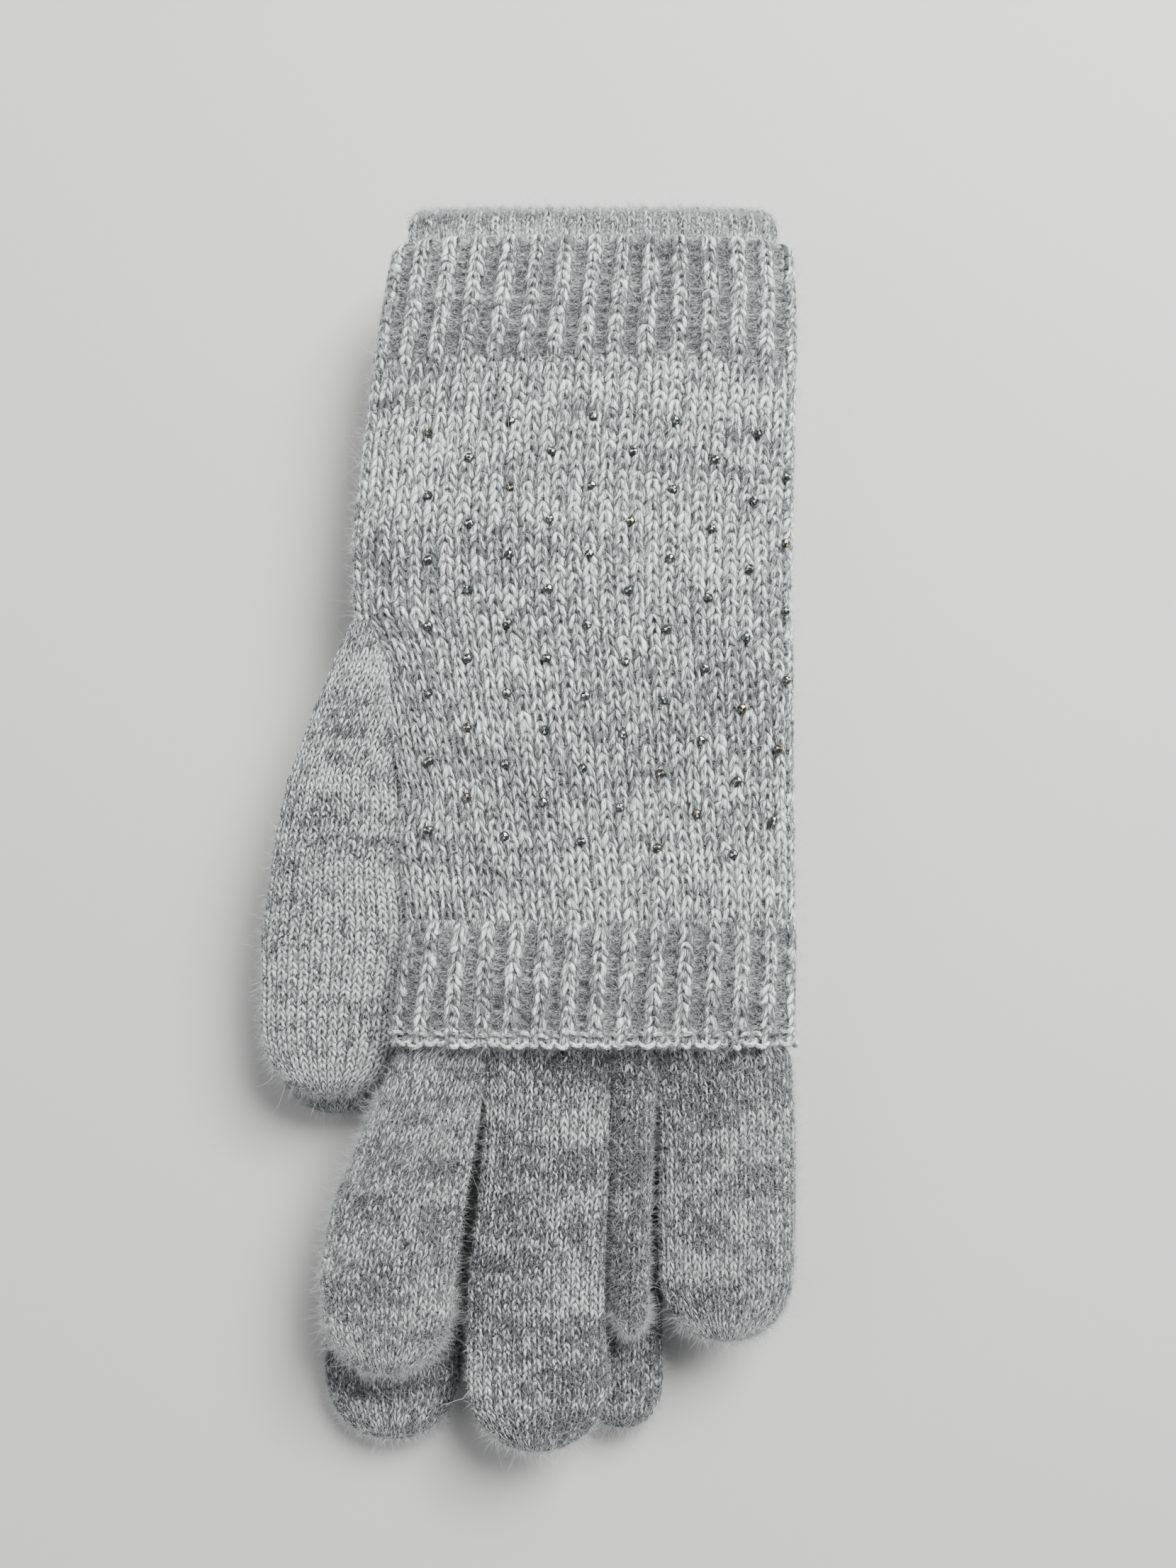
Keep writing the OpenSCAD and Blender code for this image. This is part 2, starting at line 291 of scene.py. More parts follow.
def superellipse(fractions, half_width, half_height, power):
    """Points at shares of the outline, from the left side over the top; one row per section."""
    turn = np.linspace(0, 2 * np.pi, 361)
    cos, sin = np.cos(turn), np.sin(turn)
    fractions = np.broadcast_to(fractions, (len(half_width), np.shape(fractions)[-1]))
    out = np.empty(fractions.shape + (2,))
    for k, (a, b, n) in enumerate(zip(half_width, half_height, power)):
        x = -a * np.sign(cos) * np.abs(cos) ** (2 / n)
        z = b * np.sign(sin) * np.abs(sin) ** (2 / HEIGHT_POWER)
        length = np.concatenate([[0], np.cumsum(np.hypot(np.diff(x), np.diff(z)))])
        if length[-1] <= 0:
            out[k] = 0
            continue
        at = fractions[k] * length[-1]
        out[k, :, 0] = np.interp(at, length, x)
        out[k, :, 1] = np.interp(at, length, z)
    return out


def grid_normals(grid, closed):
    """Outward normals of a grid of points whose rows run around the tube."""
    if closed:
        across = np.roll(grid, -1, 1) - np.roll(grid, 1, 1)
    else:
        across = np.gradient(grid, axis=1)
    along = np.gradient(grid, axis=0)
    normal = np.cross(along, across)
    length = np.linalg.norm(normal, axis=2, keepdims=True)
    normal = normal / np.maximum(length, 1e-9)
    away = grid - grid.mean(axis=1, keepdims=True)
    return normal if (normal * away).sum() > 0 else -normal


def grid_quads(index, closed, flip=False):
    """Quads over a grid of vertex numbers."""
    nxt = np.roll(index, -1, 1) if closed else index[:, 1:]
    cur = index if closed else index[:, :-1]
    a, b, c, d = cur[:-1], nxt[:-1], nxt[1:], cur[1:]
    quads = np.stack([a, b, c, d], -1).reshape(-1, 4)
    return quads[:, ::-1] if flip else quads


class Section:
    """Centre line, half sizes and roundness of a tube at a list of y places, all in millimetres."""

    def __init__(self, y, x, z, a, b, n):
        self.y, self.x, self.z, self.a, self.b, self.n = y, x, z, a, b, n

    def shrunk(self, by):
        return Section(self.y, self.x, self.z, np.maximum(self.a - by, 0.2),
                       np.maximum(self.b - by, 0.15), self.n)

    def at(self, fractions):
        flat = superellipse(fractions, self.a, self.b, self.n)
        out = np.empty(flat.shape[:2] + (3,))
        out[..., 0] = flat[..., 0] + self.x[:, None]
        out[..., 1] = self.y[:, None]
        out[..., 2] = flat[..., 1] + self.z[:, None]
        return out


def flat(values):
    """A grid of numbers or of vectors as one list."""
    return values.reshape((-1,) + values.shape[2:])


def open_tube(name, section, fractions, height, attributes, wall, wrap, slit=None, mirror_z=None,
              tuck=(0, 0)):
    """A knitted sleeve with a fabric thickness and two open ends. height is how far the yarn stands
    out at each point. slit is True on the rows where the tube is cut open along its left side. tuck is
    how far each end's rim runs on under the neighbouring piece."""
    rows, cols = len(section.y), np.shape(fractions)[-1]
    outer = section.at(fractions)
    closed = slit is None
    normal = grid_normals(outer, closed)
    outer = outer + normal * height[..., None]
    inner = section.shrunk(wall).at(fractions)
    rims = []
    for end, way, reach in ((0, -1, tuck[0]), (-1, 1, tuck[1])):
        rims.append(outer[end] - normal[end] * 0.75 * reach + np.array([0, way * reach, 0]))
    rims = np.stack(rims)
    if mirror_z is not None:
        for part in (outer, inner, rims):
            part[..., 2] = 2 * mirror_z - part[..., 2]
    keep = np.unique(np.concatenate([np.arange(0, rows, 6), [rows - 1]]))
    if slit is not None:
        keep = np.unique(np.concatenate([keep, np.nonzero(np.diff(slit.astype(int)))[0],
                                         np.nonzero(np.diff(slit.astype(int)))[0] + 1]))
    index = np.arange(rows * cols).reshape(rows, cols)
    inside = rows * cols + np.arange(len(keep) * cols).reshape(len(keep), cols)
    flip = mirror_z is not None
    faces = []
    if closed:
        faces.append(grid_quads(index, True, flip))
        faces.append(grid_quads(inside, True, not flip))
    else:
        index = index.copy()
        inside = inside.copy()
        shut = ~slit
        index[shut, -1] = index[shut, 0]
        inside[shut[keep], -1] = inside[shut[keep], 0]
        faces.append(grid_quads(index, False, flip))
        faces.append(grid_quads(inside, False, not flip))
        for side in (0, -1):
            strip_outer, strip_inner = index[:, side], inside[:, side]
            for k in range(len(keep) - 1):
                lo, hi = keep[k], keep[k + 1]
                if not (slit[lo] or slit[hi]):
                    continue
                outer_run = strip_outer[lo:hi + 1]
                fan = [[outer_run[m], outer_run[m + 1], strip_inner[k]] for m in range(len(outer_run) - 1)]
                fan.append([outer_run[-1], strip_inner[k + 1], strip_inner[k]])
                fan = np.array(fan)
                faces.append(fan if (side == 0) != flip else fan[:, ::-1])
    rim = (rows + len(keep)) * cols + np.arange(2 * cols).reshape(2, cols)
    if not closed:
        rim[:, -1] = rim[:, 0]
    for end, turn in ((0, True), (-1, False)):
        band = np.stack([index[end], rim[end], inside[end]])
        faces.append(grid_quads(band, closed, turn != flip))
    points = np.concatenate([outer.reshape(-1, 3), inner[keep].reshape(-1, 3), rims.reshape(-1, 3)])
    # the inner face keeps only a share of the tone and depth, which darkens it: a painted shade inside the
    # sleeve
    full = {key: np.concatenate([flat(val), flat(val[keep]) * scale, flat(val[[0, -1]])])
            for key, (val, scale) in attributes.items()}
    obj = add_mesh(name, points, faces, full, wrap=wrap, flat_last=2)
    return obj, outer, grid_normals(outer, closed)


def closed_tube(name, section, fractions, height, attributes, wall, wrap, tip):
    """A knitted finger: open at its first section and closed at its last, where it meets tip."""
    rows, cols = len(section.y), len(fractions)
    outer = section.at(fractions)
    normal = grid_normals(outer, True)
    outer = outer + normal * height[..., None]
    keep = np.unique(np.concatenate([np.arange(0, int(rows * 0.82), 8), [int(rows * 0.82)]]))
    inner = section.shrunk(wall).at(fractions)[keep]
    index = np.arange(rows * cols).reshape(rows, cols)
    inside = rows * cols + np.arange(len(keep) * cols).reshape(len(keep), cols)
    tip_outer = rows * cols + len(keep) * cols
    tip_inner = tip_outer + 1
    inner_tip = np.array([section.x[keep[-1]], section.y[keep[-1]] - 3, section.z[keep[-1]]])
    faces = [grid_quads(index, True, True), grid_quads(inside, True, False),
             grid_quads(np.stack([index[0], inside[0]]), True, False)]
    last, inner_last = index[-1], inside[-1]
    faces.append(np.stack([last, np.roll(last, -1), np.full(cols, tip_outer)], -1)[:, ::-1])
    faces.append(np.stack([inner_last, np.roll(inner_last, -1), np.full(cols, tip_inner)], -1))
    points = np.concatenate([outer.reshape(-1, 3), inner.reshape(-1, 3), [tip], [inner_tip]])
    # the inner face keeps only a share of the tone and depth, which darkens it: a painted shade inside the
    # finger
    full = {key: np.concatenate([flat(val), flat(val[keep]) * scale,
                                 [val[-1, 0], val[keep[-1], 0] * scale]])
            for key, (val, scale) in attributes.items()}
    obj = add_mesh(name, points, faces, full, wrap=wrap)
    return obj, outer, grid_normals(outer, True)


# ---------------------------------------------------------------- materials

def node_tree(name):
    """A new material, its nodes, and its shader."""
    material = bpy.data.materials.new(name)
    material.use_nodes = True
    tree = material.node_tree
    return material, tree, tree.nodes["Principled BSDF"]


def put(tree, kind, inputs, **settings):
    """A new node with its settings, and its inputs set to values or linked to other nodes' outputs."""
    node = tree.nodes.new("ShaderNode" + kind)
    for key, value in settings.items():
        setattr(node, key, value)
    for key, value in inputs.items():
        if isinstance(value, bpy.types.NodeSocket):
            tree.links.new(value, node.inputs[key])
        else:
            node.inputs[key].default_value = value
    return node


def noise(tree, vector, scale, detail, roughness):
    return put(tree, "TexNoise", {"Scale": scale, "Detail": detail, "Roughness": roughness, "Vector": vector})


def attribute(tree, key):
    return put(tree, "Attribute", {}, attribute_name=key)


def ramped(tree, value, *stops):
    """A colour that runs through stops, each a position and a colour."""
    node = put(tree, "ValToRGB", {"Fac": value})
    elements = node.color_ramp.elements
    for element, (position, colour) in zip(elements, (stops[0], stops[-1])):
        element.position = position
        element.color = (*colour, 1)
    for position, colour in stops[1:-1]:
        elements.new(position).color = (*colour, 1)
    return node.outputs["Color"]


def multiplied(tree, a, b):
    """One colour times another colour or a number."""
    node = put(tree, "Mix", {}, data_type="RGBA", blend_type="MULTIPLY")
    node.inputs["Factor"].default_value = 1.0
    tree.links.new(a, node.inputs["A"])
    tree.links.new(b, node.inputs["B"])
    return node.outputs["Result"]


def draw_legs(tree, knit, wale_mm):
    """Nodes that draw the knit's yarn legs at the place that the mesh carries: height, a random number
    for each leg, and streaks of fibre that wind along it."""

    def maths(kind, *values, clamp=False):
        return put(tree, "Math", dict(enumerate(values)), operation=kind, use_clamp=clamp).outputs[0]

    def vector(*values):
        return put(tree, "CombineXYZ", dict(enumerate(values))).outputs[0]

    u, v, ridge = put(tree, "SeparateXYZ", {0: knit}).outputs
    place = put(tree, "TexCoord", {}).outputs["Object"]
    uneven = noise(tree, place, 1.25 / (wale_mm * MM), 4.0, 0.42)
    shift = put(tree, "SeparateXYZ", {0: uneven.outputs["Color"]})
    u = maths("MULTIPLY_ADD", maths("SUBTRACT", shift.outputs[0], 0.5), 0.42, u)
    v = maths("MULTIPLY_ADD", maths("SUBTRACT", shift.outputs[1], 0.5), 1.1, v)
    off = maths("SUBTRACT", maths("FRACT", u), 0.5)
    x = maths("ABSOLUTE", off)
    half_wale = maths("MULTIPLY_ADD", maths("FLOOR", u), 2.0, maths("GREATER_THAN", off, 0.0))
    stagger = put(tree, "TexWhiteNoise", {}, noise_dimensions="1D")
    tree.links.new(half_wale, stagger.inputs["W"])
    v = maths("MULTIPLY_ADD", stagger.outputs["Value"], 0.22, v)
    row0, part = maths("FLOOR", v), maths("FRACT", v)
    best, heights = None, []
    for step in (0, -1, 1):
        t = maths("MULTIPLY_ADD", part, -1 / LEG_LENGTH, (LEG_TOP + step) / LEG_LENGTH)
        turn = maths("MULTIPLY_ADD", t, (1 - 2 * LEG_TIP) * math.pi, LEG_TIP * math.pi)
        taper = maths("MAXIMUM", maths("SINE", turn), 0.001)
        away = maths("SUBTRACT", maths("SUBTRACT", x, LEG_START), maths("MULTIPLY", t, LEG_LEAN))
        share = maths("DIVIDE", away, maths("MULTIPLY", maths("SQRT", taper), LEG_RADIUS))
        fall = maths("MULTIPLY_ADD", share, maths("MULTIPLY", share, -1.0), 1.0)
        round_top = maths("SQRT", maths("MAXIMUM", fall, 0.0))
        ends = maths("MULTIPLY", taper, 4.0, clamp=True)
        fullness = maths("MULTIPLY_ADD", taper, 0.7, 0.3)
        height = maths("MULTIPLY", maths("MULTIPLY", round_top, ends), fullness)
        heights.append(height)
        found = (height, maths("ADD", row0, float(step)), share, t)
        if best is None:
            best = found
            continue
        over = maths("GREATER_THAN", height, best[0])
        best = tuple(maths("MULTIPLY_ADD", maths("SUBTRACT", new, old), over, old)
                     for new, old in zip(found, best))
    height, row, share, t = best
    total = maths("ADD", maths("ADD", heights[0], heights[1]), heights[2])
    lowest = maths("MINIMUM", maths("MINIMUM", heights[0], heights[1]), heights[2])
    second = maths("SUBTRACT", maths("SUBTRACT", total, height), lowest)
    clear = maths("SUBTRACT", height, second)
    white = put(tree, "TexWhiteNoise", {}, noise_dimensions="2D")
    tree.links.new(vector(half_wale, row, 0.0), white.inputs["Vector"])
    leg_tone = white.outputs["Value"]
    around = maths("MULTIPLY_ADD", t, 1.8, maths("MULTIPLY", share, 0.45 * wale_mm))
    along = vector(around, maths("MULTIPLY", t, 1.3), maths("MULTIPLY", leg_tone, 91.0))
    strand = noise(tree, along, 1.0, 4.0, 0.62).outputs["Fac"]
    return maths, height, clear, leg_tone, strand, ridge


def yarn_material(name, wale_mm, dark, light):
    """Marled fuzzy yarn. The mesh carries the light and dark runs with painted shade and light laid on them,
    how deep each point lies, and where it is in the knit; the nodes draw each leg of yarn there, with its own
    brightness and its fibres, and darken the colour in hollows and gaps as painted shade."""
    material, tree, shader = node_tree(name)

    def ranged(value, low, high, new_low, new_high):
        return put(tree, "MapRange", {"Value": value, "From Min": low, "From Max": high, "To Min": new_low,
                                      "To Max": new_high}, interpolation_type="SMOOTHSTEP").outputs["Result"]

    place = put(tree, "TexCoord", {}).outputs["Object"]
    knit = attribute(tree, "knit").outputs["Vector"]
    maths, leg, clear, leg_tone, strand, ridge = draw_legs(tree, knit, wale_mm)
    wool = noise(tree, place, 5200, 3, 0.65).outputs["Fac"]
    stretch = put(tree, "VectorMath", {0: place, 1: (0.7, 1.5, 1.0)}, operation="MULTIPLY")
    purl = noise(tree, stretch.outputs[0], 1500, 2, 0.65).outputs["Fac"]

    def blended(base, knitted):
        return maths("MULTIPLY_ADD", maths("SUBTRACT", knitted, base), ridge, base)

    deep = attribute(tree, "depth").outputs["Fac"]
    purl_depth = maths("MULTIPLY", deep, ranged(purl, 0.36, 0.62, 0.5, 1.3))
    depth = blended(purl_depth, maths("MULTIPLY", leg, leg))
    leg_part = maths("MULTIPLY", maths("SUBTRACT", leg_tone, 0.55), 0.6)
    strand_part = maths("MULTIPLY", maths("SUBTRACT", strand, 0.51), 6.0)
    wool_part = maths("MULTIPLY", maths("SUBTRACT", wool, 0.5), 1.2)
    purl_part = maths("MULTIPLY", maths("SUBTRACT", purl, 0.58), 2.0)
    shade = maths("ADD", attribute(tree, "tone").outputs["Fac"], wool_part)
    shade = maths("ADD", shade, blended(purl_part, maths("ADD", leg_part, strand_part)))
    middle = [0.52 * a + 0.48 * b for a, b in zip(dark, light)]
    colour = ramped(tree, shade, (0.05, dark), (0.5, middle), (0.95, light))
    # Painted shade: the colour is darkened where a point lies deep, down the flanks and ends of each leg, in
    # the purl valleys, and in the gaps where legs meet.
    painted_hollow_shade = ranged(depth, -0.1, 0.75, 0.22, 1.0)
    painted_gap_shade = blended(maths("ADD", ridge, 1.0), ranged(clear, 0.0, 0.25, 0.45, 1.0))
    painted_hollow_shade = maths("MULTIPLY", painted_hollow_shade, maths("MINIMUM", painted_gap_shade, 1.0))
    tree.links.new(multiplied(tree, colour, painted_hollow_shade), shader.inputs["Base Color"])
    fuzz_height = maths("ADD", maths("MULTIPLY", strand, 0.45), maths("MULTIPLY", wool, 0.35))
    relief = put(tree, "Bump", {"Strength": 0.8, "Distance": 0.0005,
                                "Height": maths("ADD", depth, fuzz_height)})
    tree.links.new(relief.outputs["Normal"], shader.inputs["Normal"])
    shader.inputs["Roughness"].default_value = 0.92
    shader.inputs["Specular IOR Level"].default_value = 0.12
    shader.inputs["Sheen Weight"].default_value = 0.2
    shader.inputs["Sheen Roughness"].default_value = 0.45
    shader.inputs["Sheen Tint"].default_value = (0.92, 0.95, 1.0, 1)
    return material


def hair_material(name, colour):
    """Fine angora hairs, lighter and darker ones."""
    material, tree, shader = node_tree(name)
    dark = [0.6 * c for c in colour]
    light = [min(1.0, 1.3 * c) for c in colour]
    tone = attribute(tree, "tone").outputs["Fac"]
    tree.links.new(ramped(tree, tone, (0, dark), (1, light)), shader.inputs["Base Color"])
    shader.inputs["Roughness"].default_value = 0.6
    shader.inputs["Specular IOR Level"].default_value = 0.3
    shader.inputs["Sheen Weight"].default_value = 0.3
    return material


def crystal_material():
    """Dark foil-backed stone. Some facets carry a painted glint: a light colour that stands for
    light that they throw back. Stones differ a little in colour."""
    material, tree, shader = node_tree("crystal")
    # the light end of this ramp is the painted glint colour
    grey = ramped(tree, attribute(tree, "facet").outputs["Fac"], (0, (0.010, 0.013, 0.014)),
                  (0.30, (0.035, 0.042, 0.042)), (0.62, (0.16, 0.18, 0.18)), (1, (0.95, 0.97, 1.0)))
    hue = ramped(tree, attribute(tree, "tint").outputs["Fac"], (0, (0.90, 1.0, 0.95)),
                 (0.62, (1.0, 1.0, 0.92)), (1, (1.0, 0.76, 0.48)))
    tree.links.new(multiplied(tree, grey, hue), shader.inputs["Base Color"])
    shader.inputs["Metallic"].default_value = 0.15
    shader.inputs["Roughness"].default_value = 0.08
    shader.inputs["Coat Weight"].default_value = 1.0
    shader.inputs["Coat Roughness"].default_value = 0.02
    return material


MITT_YARN = yarn_material("mitt_yarn", MITT_WALE, (0.127, 0.138, 0.138), (0.955, 1.0, 0.988))
GLOVE_YARN = yarn_material("glove_yarn", GLOVE_WALE, (0.075, 0.079, 0.08), (0.80, 0.82, 0.82))
MITT_HAIR = hair_material("mitt_hair", (0.76, 0.78, 0.78))
GLOVE_HAIR = hair_material("glove_hair", (0.62, 0.64, 0.64))
CRYSTAL = crystal_material()


def finish_piece(obj, material, body, nodes=(), bend=None):
    """Gives the piece its material and makes it ride its body. With bend, it keeps its place in the world
    instead and rides no body; the bend's two ends have no effect.
    """
    obj.data.materials.append(material)
    if bend:
        start, end = bend
        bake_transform(obj)
        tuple(start)
        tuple(end)
    else:
        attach(obj, body)
    if nodes:
        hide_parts(*nodes)
    return obj


# ---------------------------------------------------------------- fuzz

HALO = {"length": 3.1, "lift": 1.0, "thickness": 0.018, "segments": 2, "curl": 1.4, "sides": True}
GUARD = {"length": 6.5, "thickness": 0.036, "segments": 6, "curl": 1.1}


def fuzz(name, surfaces, count, seed, length, lift, thickness, curl=0.9, segments=3, keep=None, facing=None,
         sides=False):
    """Hairs rooted on grids of surface points: tapered three-sided strands that bend over. With facing,
    the side that faces away from that direction carries few of them. With sides, they stand on the
    surfaces that face sideways."""
    rng = np.random.default_rng(seed)
    roots, normals = [], []
    areas = []
    for grid, normal in surfaces:
        along = np.linalg.norm(grid[1:, :-1] - grid[:-1, :-1], axis=2)
        across = np.linalg.norm(grid[:-1, 1:] - grid[:-1, :-1], axis=2)
        weight = along * across
        if facing is not None:
            weight = weight * np.where(normal[:-1, :-1] @ np.array(facing, float) > -0.3, 1, 0.12)
        if sides:
            weight = weight * (np.abs(normal[:-1, :-1, 2]) < 0.75)
        areas.append(weight)
    total = sum(a.sum() for a in areas)
    for (grid, normal), area in zip(surfaces, areas):
        n = int(count * area.sum() / total)
        pick = rng.choice(area.size, n, p=(area / area.sum()).reshape(-1))
        r, c = np.unravel_index(pick, area.shape)
        a, b = rng.random(n)[:, None], rng.random(n)[:, None]
        roots.append(grid[r, c] + a * (grid[r + 1, c] - grid[r, c]) + b * (grid[r, c + 1] - grid[r, c]))
        normals.append(normal[r, c])
    root, out = np.concatenate(roots), np.concatenate(normals)
    if keep is not None:
        wanted = keep(root)
        root, out = root[wanted], out[wanted]
    n = len(root)
    wild = rng.normal(size=(n, 3))
    lie = unit(wild - (wild * out).sum(1, keepdims=True) * out, 1e-9)
    rise = (lift * rng.random(n) ** 1.2 + 0.08)[:, None]
    heading = out * rise + lie * np.sqrt(np.clip(1 - rise ** 2, 0, 1))
    bend = unit(np.cross(heading, rng.normal(size=(n, 3))), 1e-9)
    bend -= np.minimum((bend * out).sum(1, keepdims=True), 0) * out
    size = length * (0.35 + rng.gamma(2.2, 0.3, n))[:, None]
    width = thickness * (0.7 + 0.6 * rng.random(n))
    points = []
    side = unit(np.cross(heading, bend), 1e-9)
    third = np.cross(heading, side)
    for k in range(segments):
        t = k / segments
        sway = bend * size * curl * (rng.random((n, 1)) - 0.3) * t * t
        centre = root - out * 0.15 + heading * size * t + sway
        r = (width * (1 - 0.65 * t))[:, None]
        for m in range(3):
            turn = 2 * math.pi * m / 3
            points.append(centre + r * (math.cos(turn) * side + math.sin(turn) * third))
    points.append(root + heading * size + bend * size * curl * 0.25)
    each = segments * 3 + 1
    strands = np.stack(points, 1)
    level = strands[:, :, 2]
    strands = strands[(level.min(1) > HAIR_LEVELS[0]) & (level.max(1) < HAIR_LEVELS[1])]
    n = len(strands)
    stacked = strands.reshape(-1, 3)
    base = np.arange(n)[:, None] * each
    quads, tris = [], []
    for k in range(segments - 1):
        for m in range(3):
            p, q = k * 3 + m, k * 3 + (m + 1) % 3
            quads.append(base + np.array([p, q, q + 3, p + 3]))
    top = (segments - 1) * 3
    for m in range(3):
        tris.append(base + np.array([top + m, top + (m + 1) % 3, each - 1]))
    tris.append(base + np.array([2, 1, 0]))
    tone = np.repeat(rng.random(n), each)
    faces = [np.concatenate(kind) for kind in (quads, tris) if kind]
    return add_mesh(name, stacked, faces, {"tone": tone})


# ---------------------------------------------------------------- the over-mitts

def columns(wales, top_samples, bottom_samples, closed=True):
    """Shares of the outline and wale positions: fine over the back of the hand, coarser under the palm."""
    half = wales / 2
    top = np.arange(round(half * top_samples)) / top_samples
    bottom = half + np.arange(round(half * bottom_samples)) / bottom_samples
    wale = np.concatenate([top, bottom])
    if not closed:
        wale = np.append(wale, float(wales))
    return wale / wales, wale


def tube_rows(node, row_height, samples):
    """Places along a node's length, sampled evenly within each row of knitting."""
    low, high = cad_span(node)
    rows = max(2, round((high - low) / row_height))
    return np.linspace(low, high, rows * samples + 1), np.linspace(0, rows, rows * samples + 1)


def mitt_section(node, y, inset, power=MITT_POWER):
    """The CAD node's cross-sections, drawn in by inset and eased out at the sides."""
    x0, x1, z0, z1 = cad_sections(node, y).T
    return Section(np.asarray(y, float), (x0 + x1) / 2, (z0 + z1) / 2, (x1 - x0) / 2 - inset + SIDE_EASE,
                   (z1 - z0) / 2 - inset, np.full(len(y), power))


def mirror_height(hand, section):
    """The height that a sleeve of the lower hand is mirrored about, since its back faces down."""
    return section.z[0] if hand == "right" else None


def crescents(centre, across, up, out, half_width, sag, radius, rng):
    """Short bent lengths of yarn, each round and closed: one per centre point."""
    stations, sides = 9, 6
    points, quads, tris = [], [], []
    n = len(centre)
    sag = sag * (0.85 + 0.3 * rng.random((n, 1)))
    for k in range(stations):
        t = 2 * k / (stations - 1) - 1
        swell = radius * (0.45 + 0.55 * math.sqrt(max(0.0, 1 - t * t)))
        spot = centre + across * half_width * t + up * sag * (t * t - 0.5) + out * radius * (1 - t * t) * 0.8
        tangent = unit(across * half_width + up * sag * 2 * t)
        binormal = np.cross(tangent, out)
        for m in range(sides):
            turn = 2 * math.pi * m / sides
            points.append(spot + swell * (math.cos(turn) * out + math.sin(turn) * binormal))
    each = stations * sides
    base = np.arange(n)[:, None] * each
    for k in range(stations - 1):
        for m in range(sides):
            p, q = k * sides + m, k * sides + (m + 1) % sides
            quads.append(base + np.array([p, q, q + sides, p + sides]))
    for m in range(1, sides - 1):
        tris.append(base + np.array([0, m + 1, m]))
        last = (stations - 1) * sides
        tris.append(base + np.array([last, last + m, last + m + 1]))
    return np.stack(points, 1).reshape(-1, 3), np.concatenate(quads), np.concatenate(tris), each


def merge(obj_parts, name):
    """Joins mesh objects into one piece."""
    bpy.ops.object.select_all(action="DESELECT")
    for part in obj_parts:
        part.select_set(True)
    bpy.context.view_layer.objects.active = obj_parts[0]
    bpy.ops.object.join()
    obj_parts[0].name = name
    return obj_parts[0]


def yarn_loops(name, outer, row, count, first, half_width, sag, radius, rise, seed, tone, back):
    """A row of small curved yarn loops on a ring of surface points; first is the first loop's place.
    They lie lower on the side away from back, where the other hand rests."""
    rng = np.random.default_rng(seed)
    ring = outer[row]
    length, points_at = measured_ring(ring)
    place = (np.arange(count) + first) / count * length
    centre = points_at(place)
    across = unit(points_at((place + 0.6) % length) - centre)
    up = np.tile([0.0, 1.0, 0.0], (count, 1))
    out = np.cross(up, across)
    middle = ring.mean(0)
    out *= np.sign(((centre - middle) * out).sum(1, keepdims=True))
    jitter = rng.normal(size=(count, 3)) * np.array([0.16, 0.16, 0.08])
    spot = centre + out * (rise - np.where(back * out[:, 2:] < -0.5, 0.7, 0)) + jitter
    points, quads, tris, each = crescents(spot, across, up, out, half_width, sag, radius, rng)
    shade = np.repeat(np.clip(tone + 0.22 * rng.normal(size=count), 0, 1), each)
    plain = {"tone": shade, "depth": np.full(len(points), 0.8), "knit": np.zeros((len(points), 3))}
    return add_mesh(name, points, [quads, tris], plain)


def meander(wale, y, seed):
    """How far, in wales, the columns wander sideways; the same for pieces that continue each other."""
    return 0.16 * smooth_noise(wale / 8, y / 24, seed) + 0.08 * smooth_noise(wale / 3, y / 9, seed + 1)


def level_ends(y, reach=6.0):
    """0 at the two ends of a list of places, 1 away from them, so that neighbouring pieces meet."""
    return smoothstep(0, reach, np.minimum(y - y[0], y[-1] - y))[:, None]


def rib_piece(name, node, hand, gauge, count, seed, relief, inset, samples, wall, end_roll=(0, 0), wander=0,
              join=0, plain=0, tone=0, tuck=(0, 0), meets=None, flare=0):
    """A ribbed sleeve around the CAD node, with count rib periods. It turns into the body's plain knit over
    the length join, at its first end, or its last if negative, and takes on the outline of the node that
    it meets there. The last end widens by flare."""
    y, v = tube_rows(node, gauge, samples[2])
    shares, wale = columns(count, samples[0], samples[1])
    u, v = stitch_grid(wale, v)
    v += 0.18 * smooth_noise(u / 9, v / 12, seed + 31) * level_ends(y)
    u += 0.25 + 0.5 * meander(2 * u, y[:, None], wander)
    joined = y[0] if join > 0 else y[-1]
    near = 1 - smoothstep(0, abs(join), np.abs(y - joined)) if join else np.zeros(len(y))
    near = np.maximum(near, plain)[:, None]
    height, depth, knit, legs = rib_knit(u, v, seed, near)
    stand = (1 - near) * relief * height + near * (inset - BODY_INSET + BODY_RELIEF * legs)
    # the valleys between ribs get a painted shade
    shade = melange(2 * u, v, seed) - VALLEY_PAINTED_SHADE * (1 - knit[..., 2])
    section = mitt_section(node, y, inset)
    if meets:
        other = mitt_section(meets, [joined], inset)
        own = -1 if join < 0 else 0
        weight = near[:, 0]
        section.x, section.z, section.a, section.b = (
            mine + weight * (theirs[0] - mine[own])
            for mine, theirs in ((section.x, other.x), (section.z, other.z), (section.a, other.a),
                                 (section.b, other.b)))
    for end, side in zip(end_roll, (y - y[0], y[-1] - y)):
        if end:
            rolled = end * (1 - np.sqrt(np.clip(1 - (1 - side / end).clip(0, 1) ** 2, 0, 1)))
            section.a, section.b = section.a - rolled, section.b - rolled
    section.a = section.a + flare * smoothstep(y[-1] - 11, y[-1] - 4, y)
    mirror = mirror_height(hand, section)
    stand = stand + 0.25 * smooth_noise(u / 5, v / 6, seed + 32) * level_ends(y)
    return open_tube(name, section, shares, stand, yarn_attributes(shade + tone, depth, knit), wall,
                     2 * count, mirror_z=mirror, tuck=tuck)


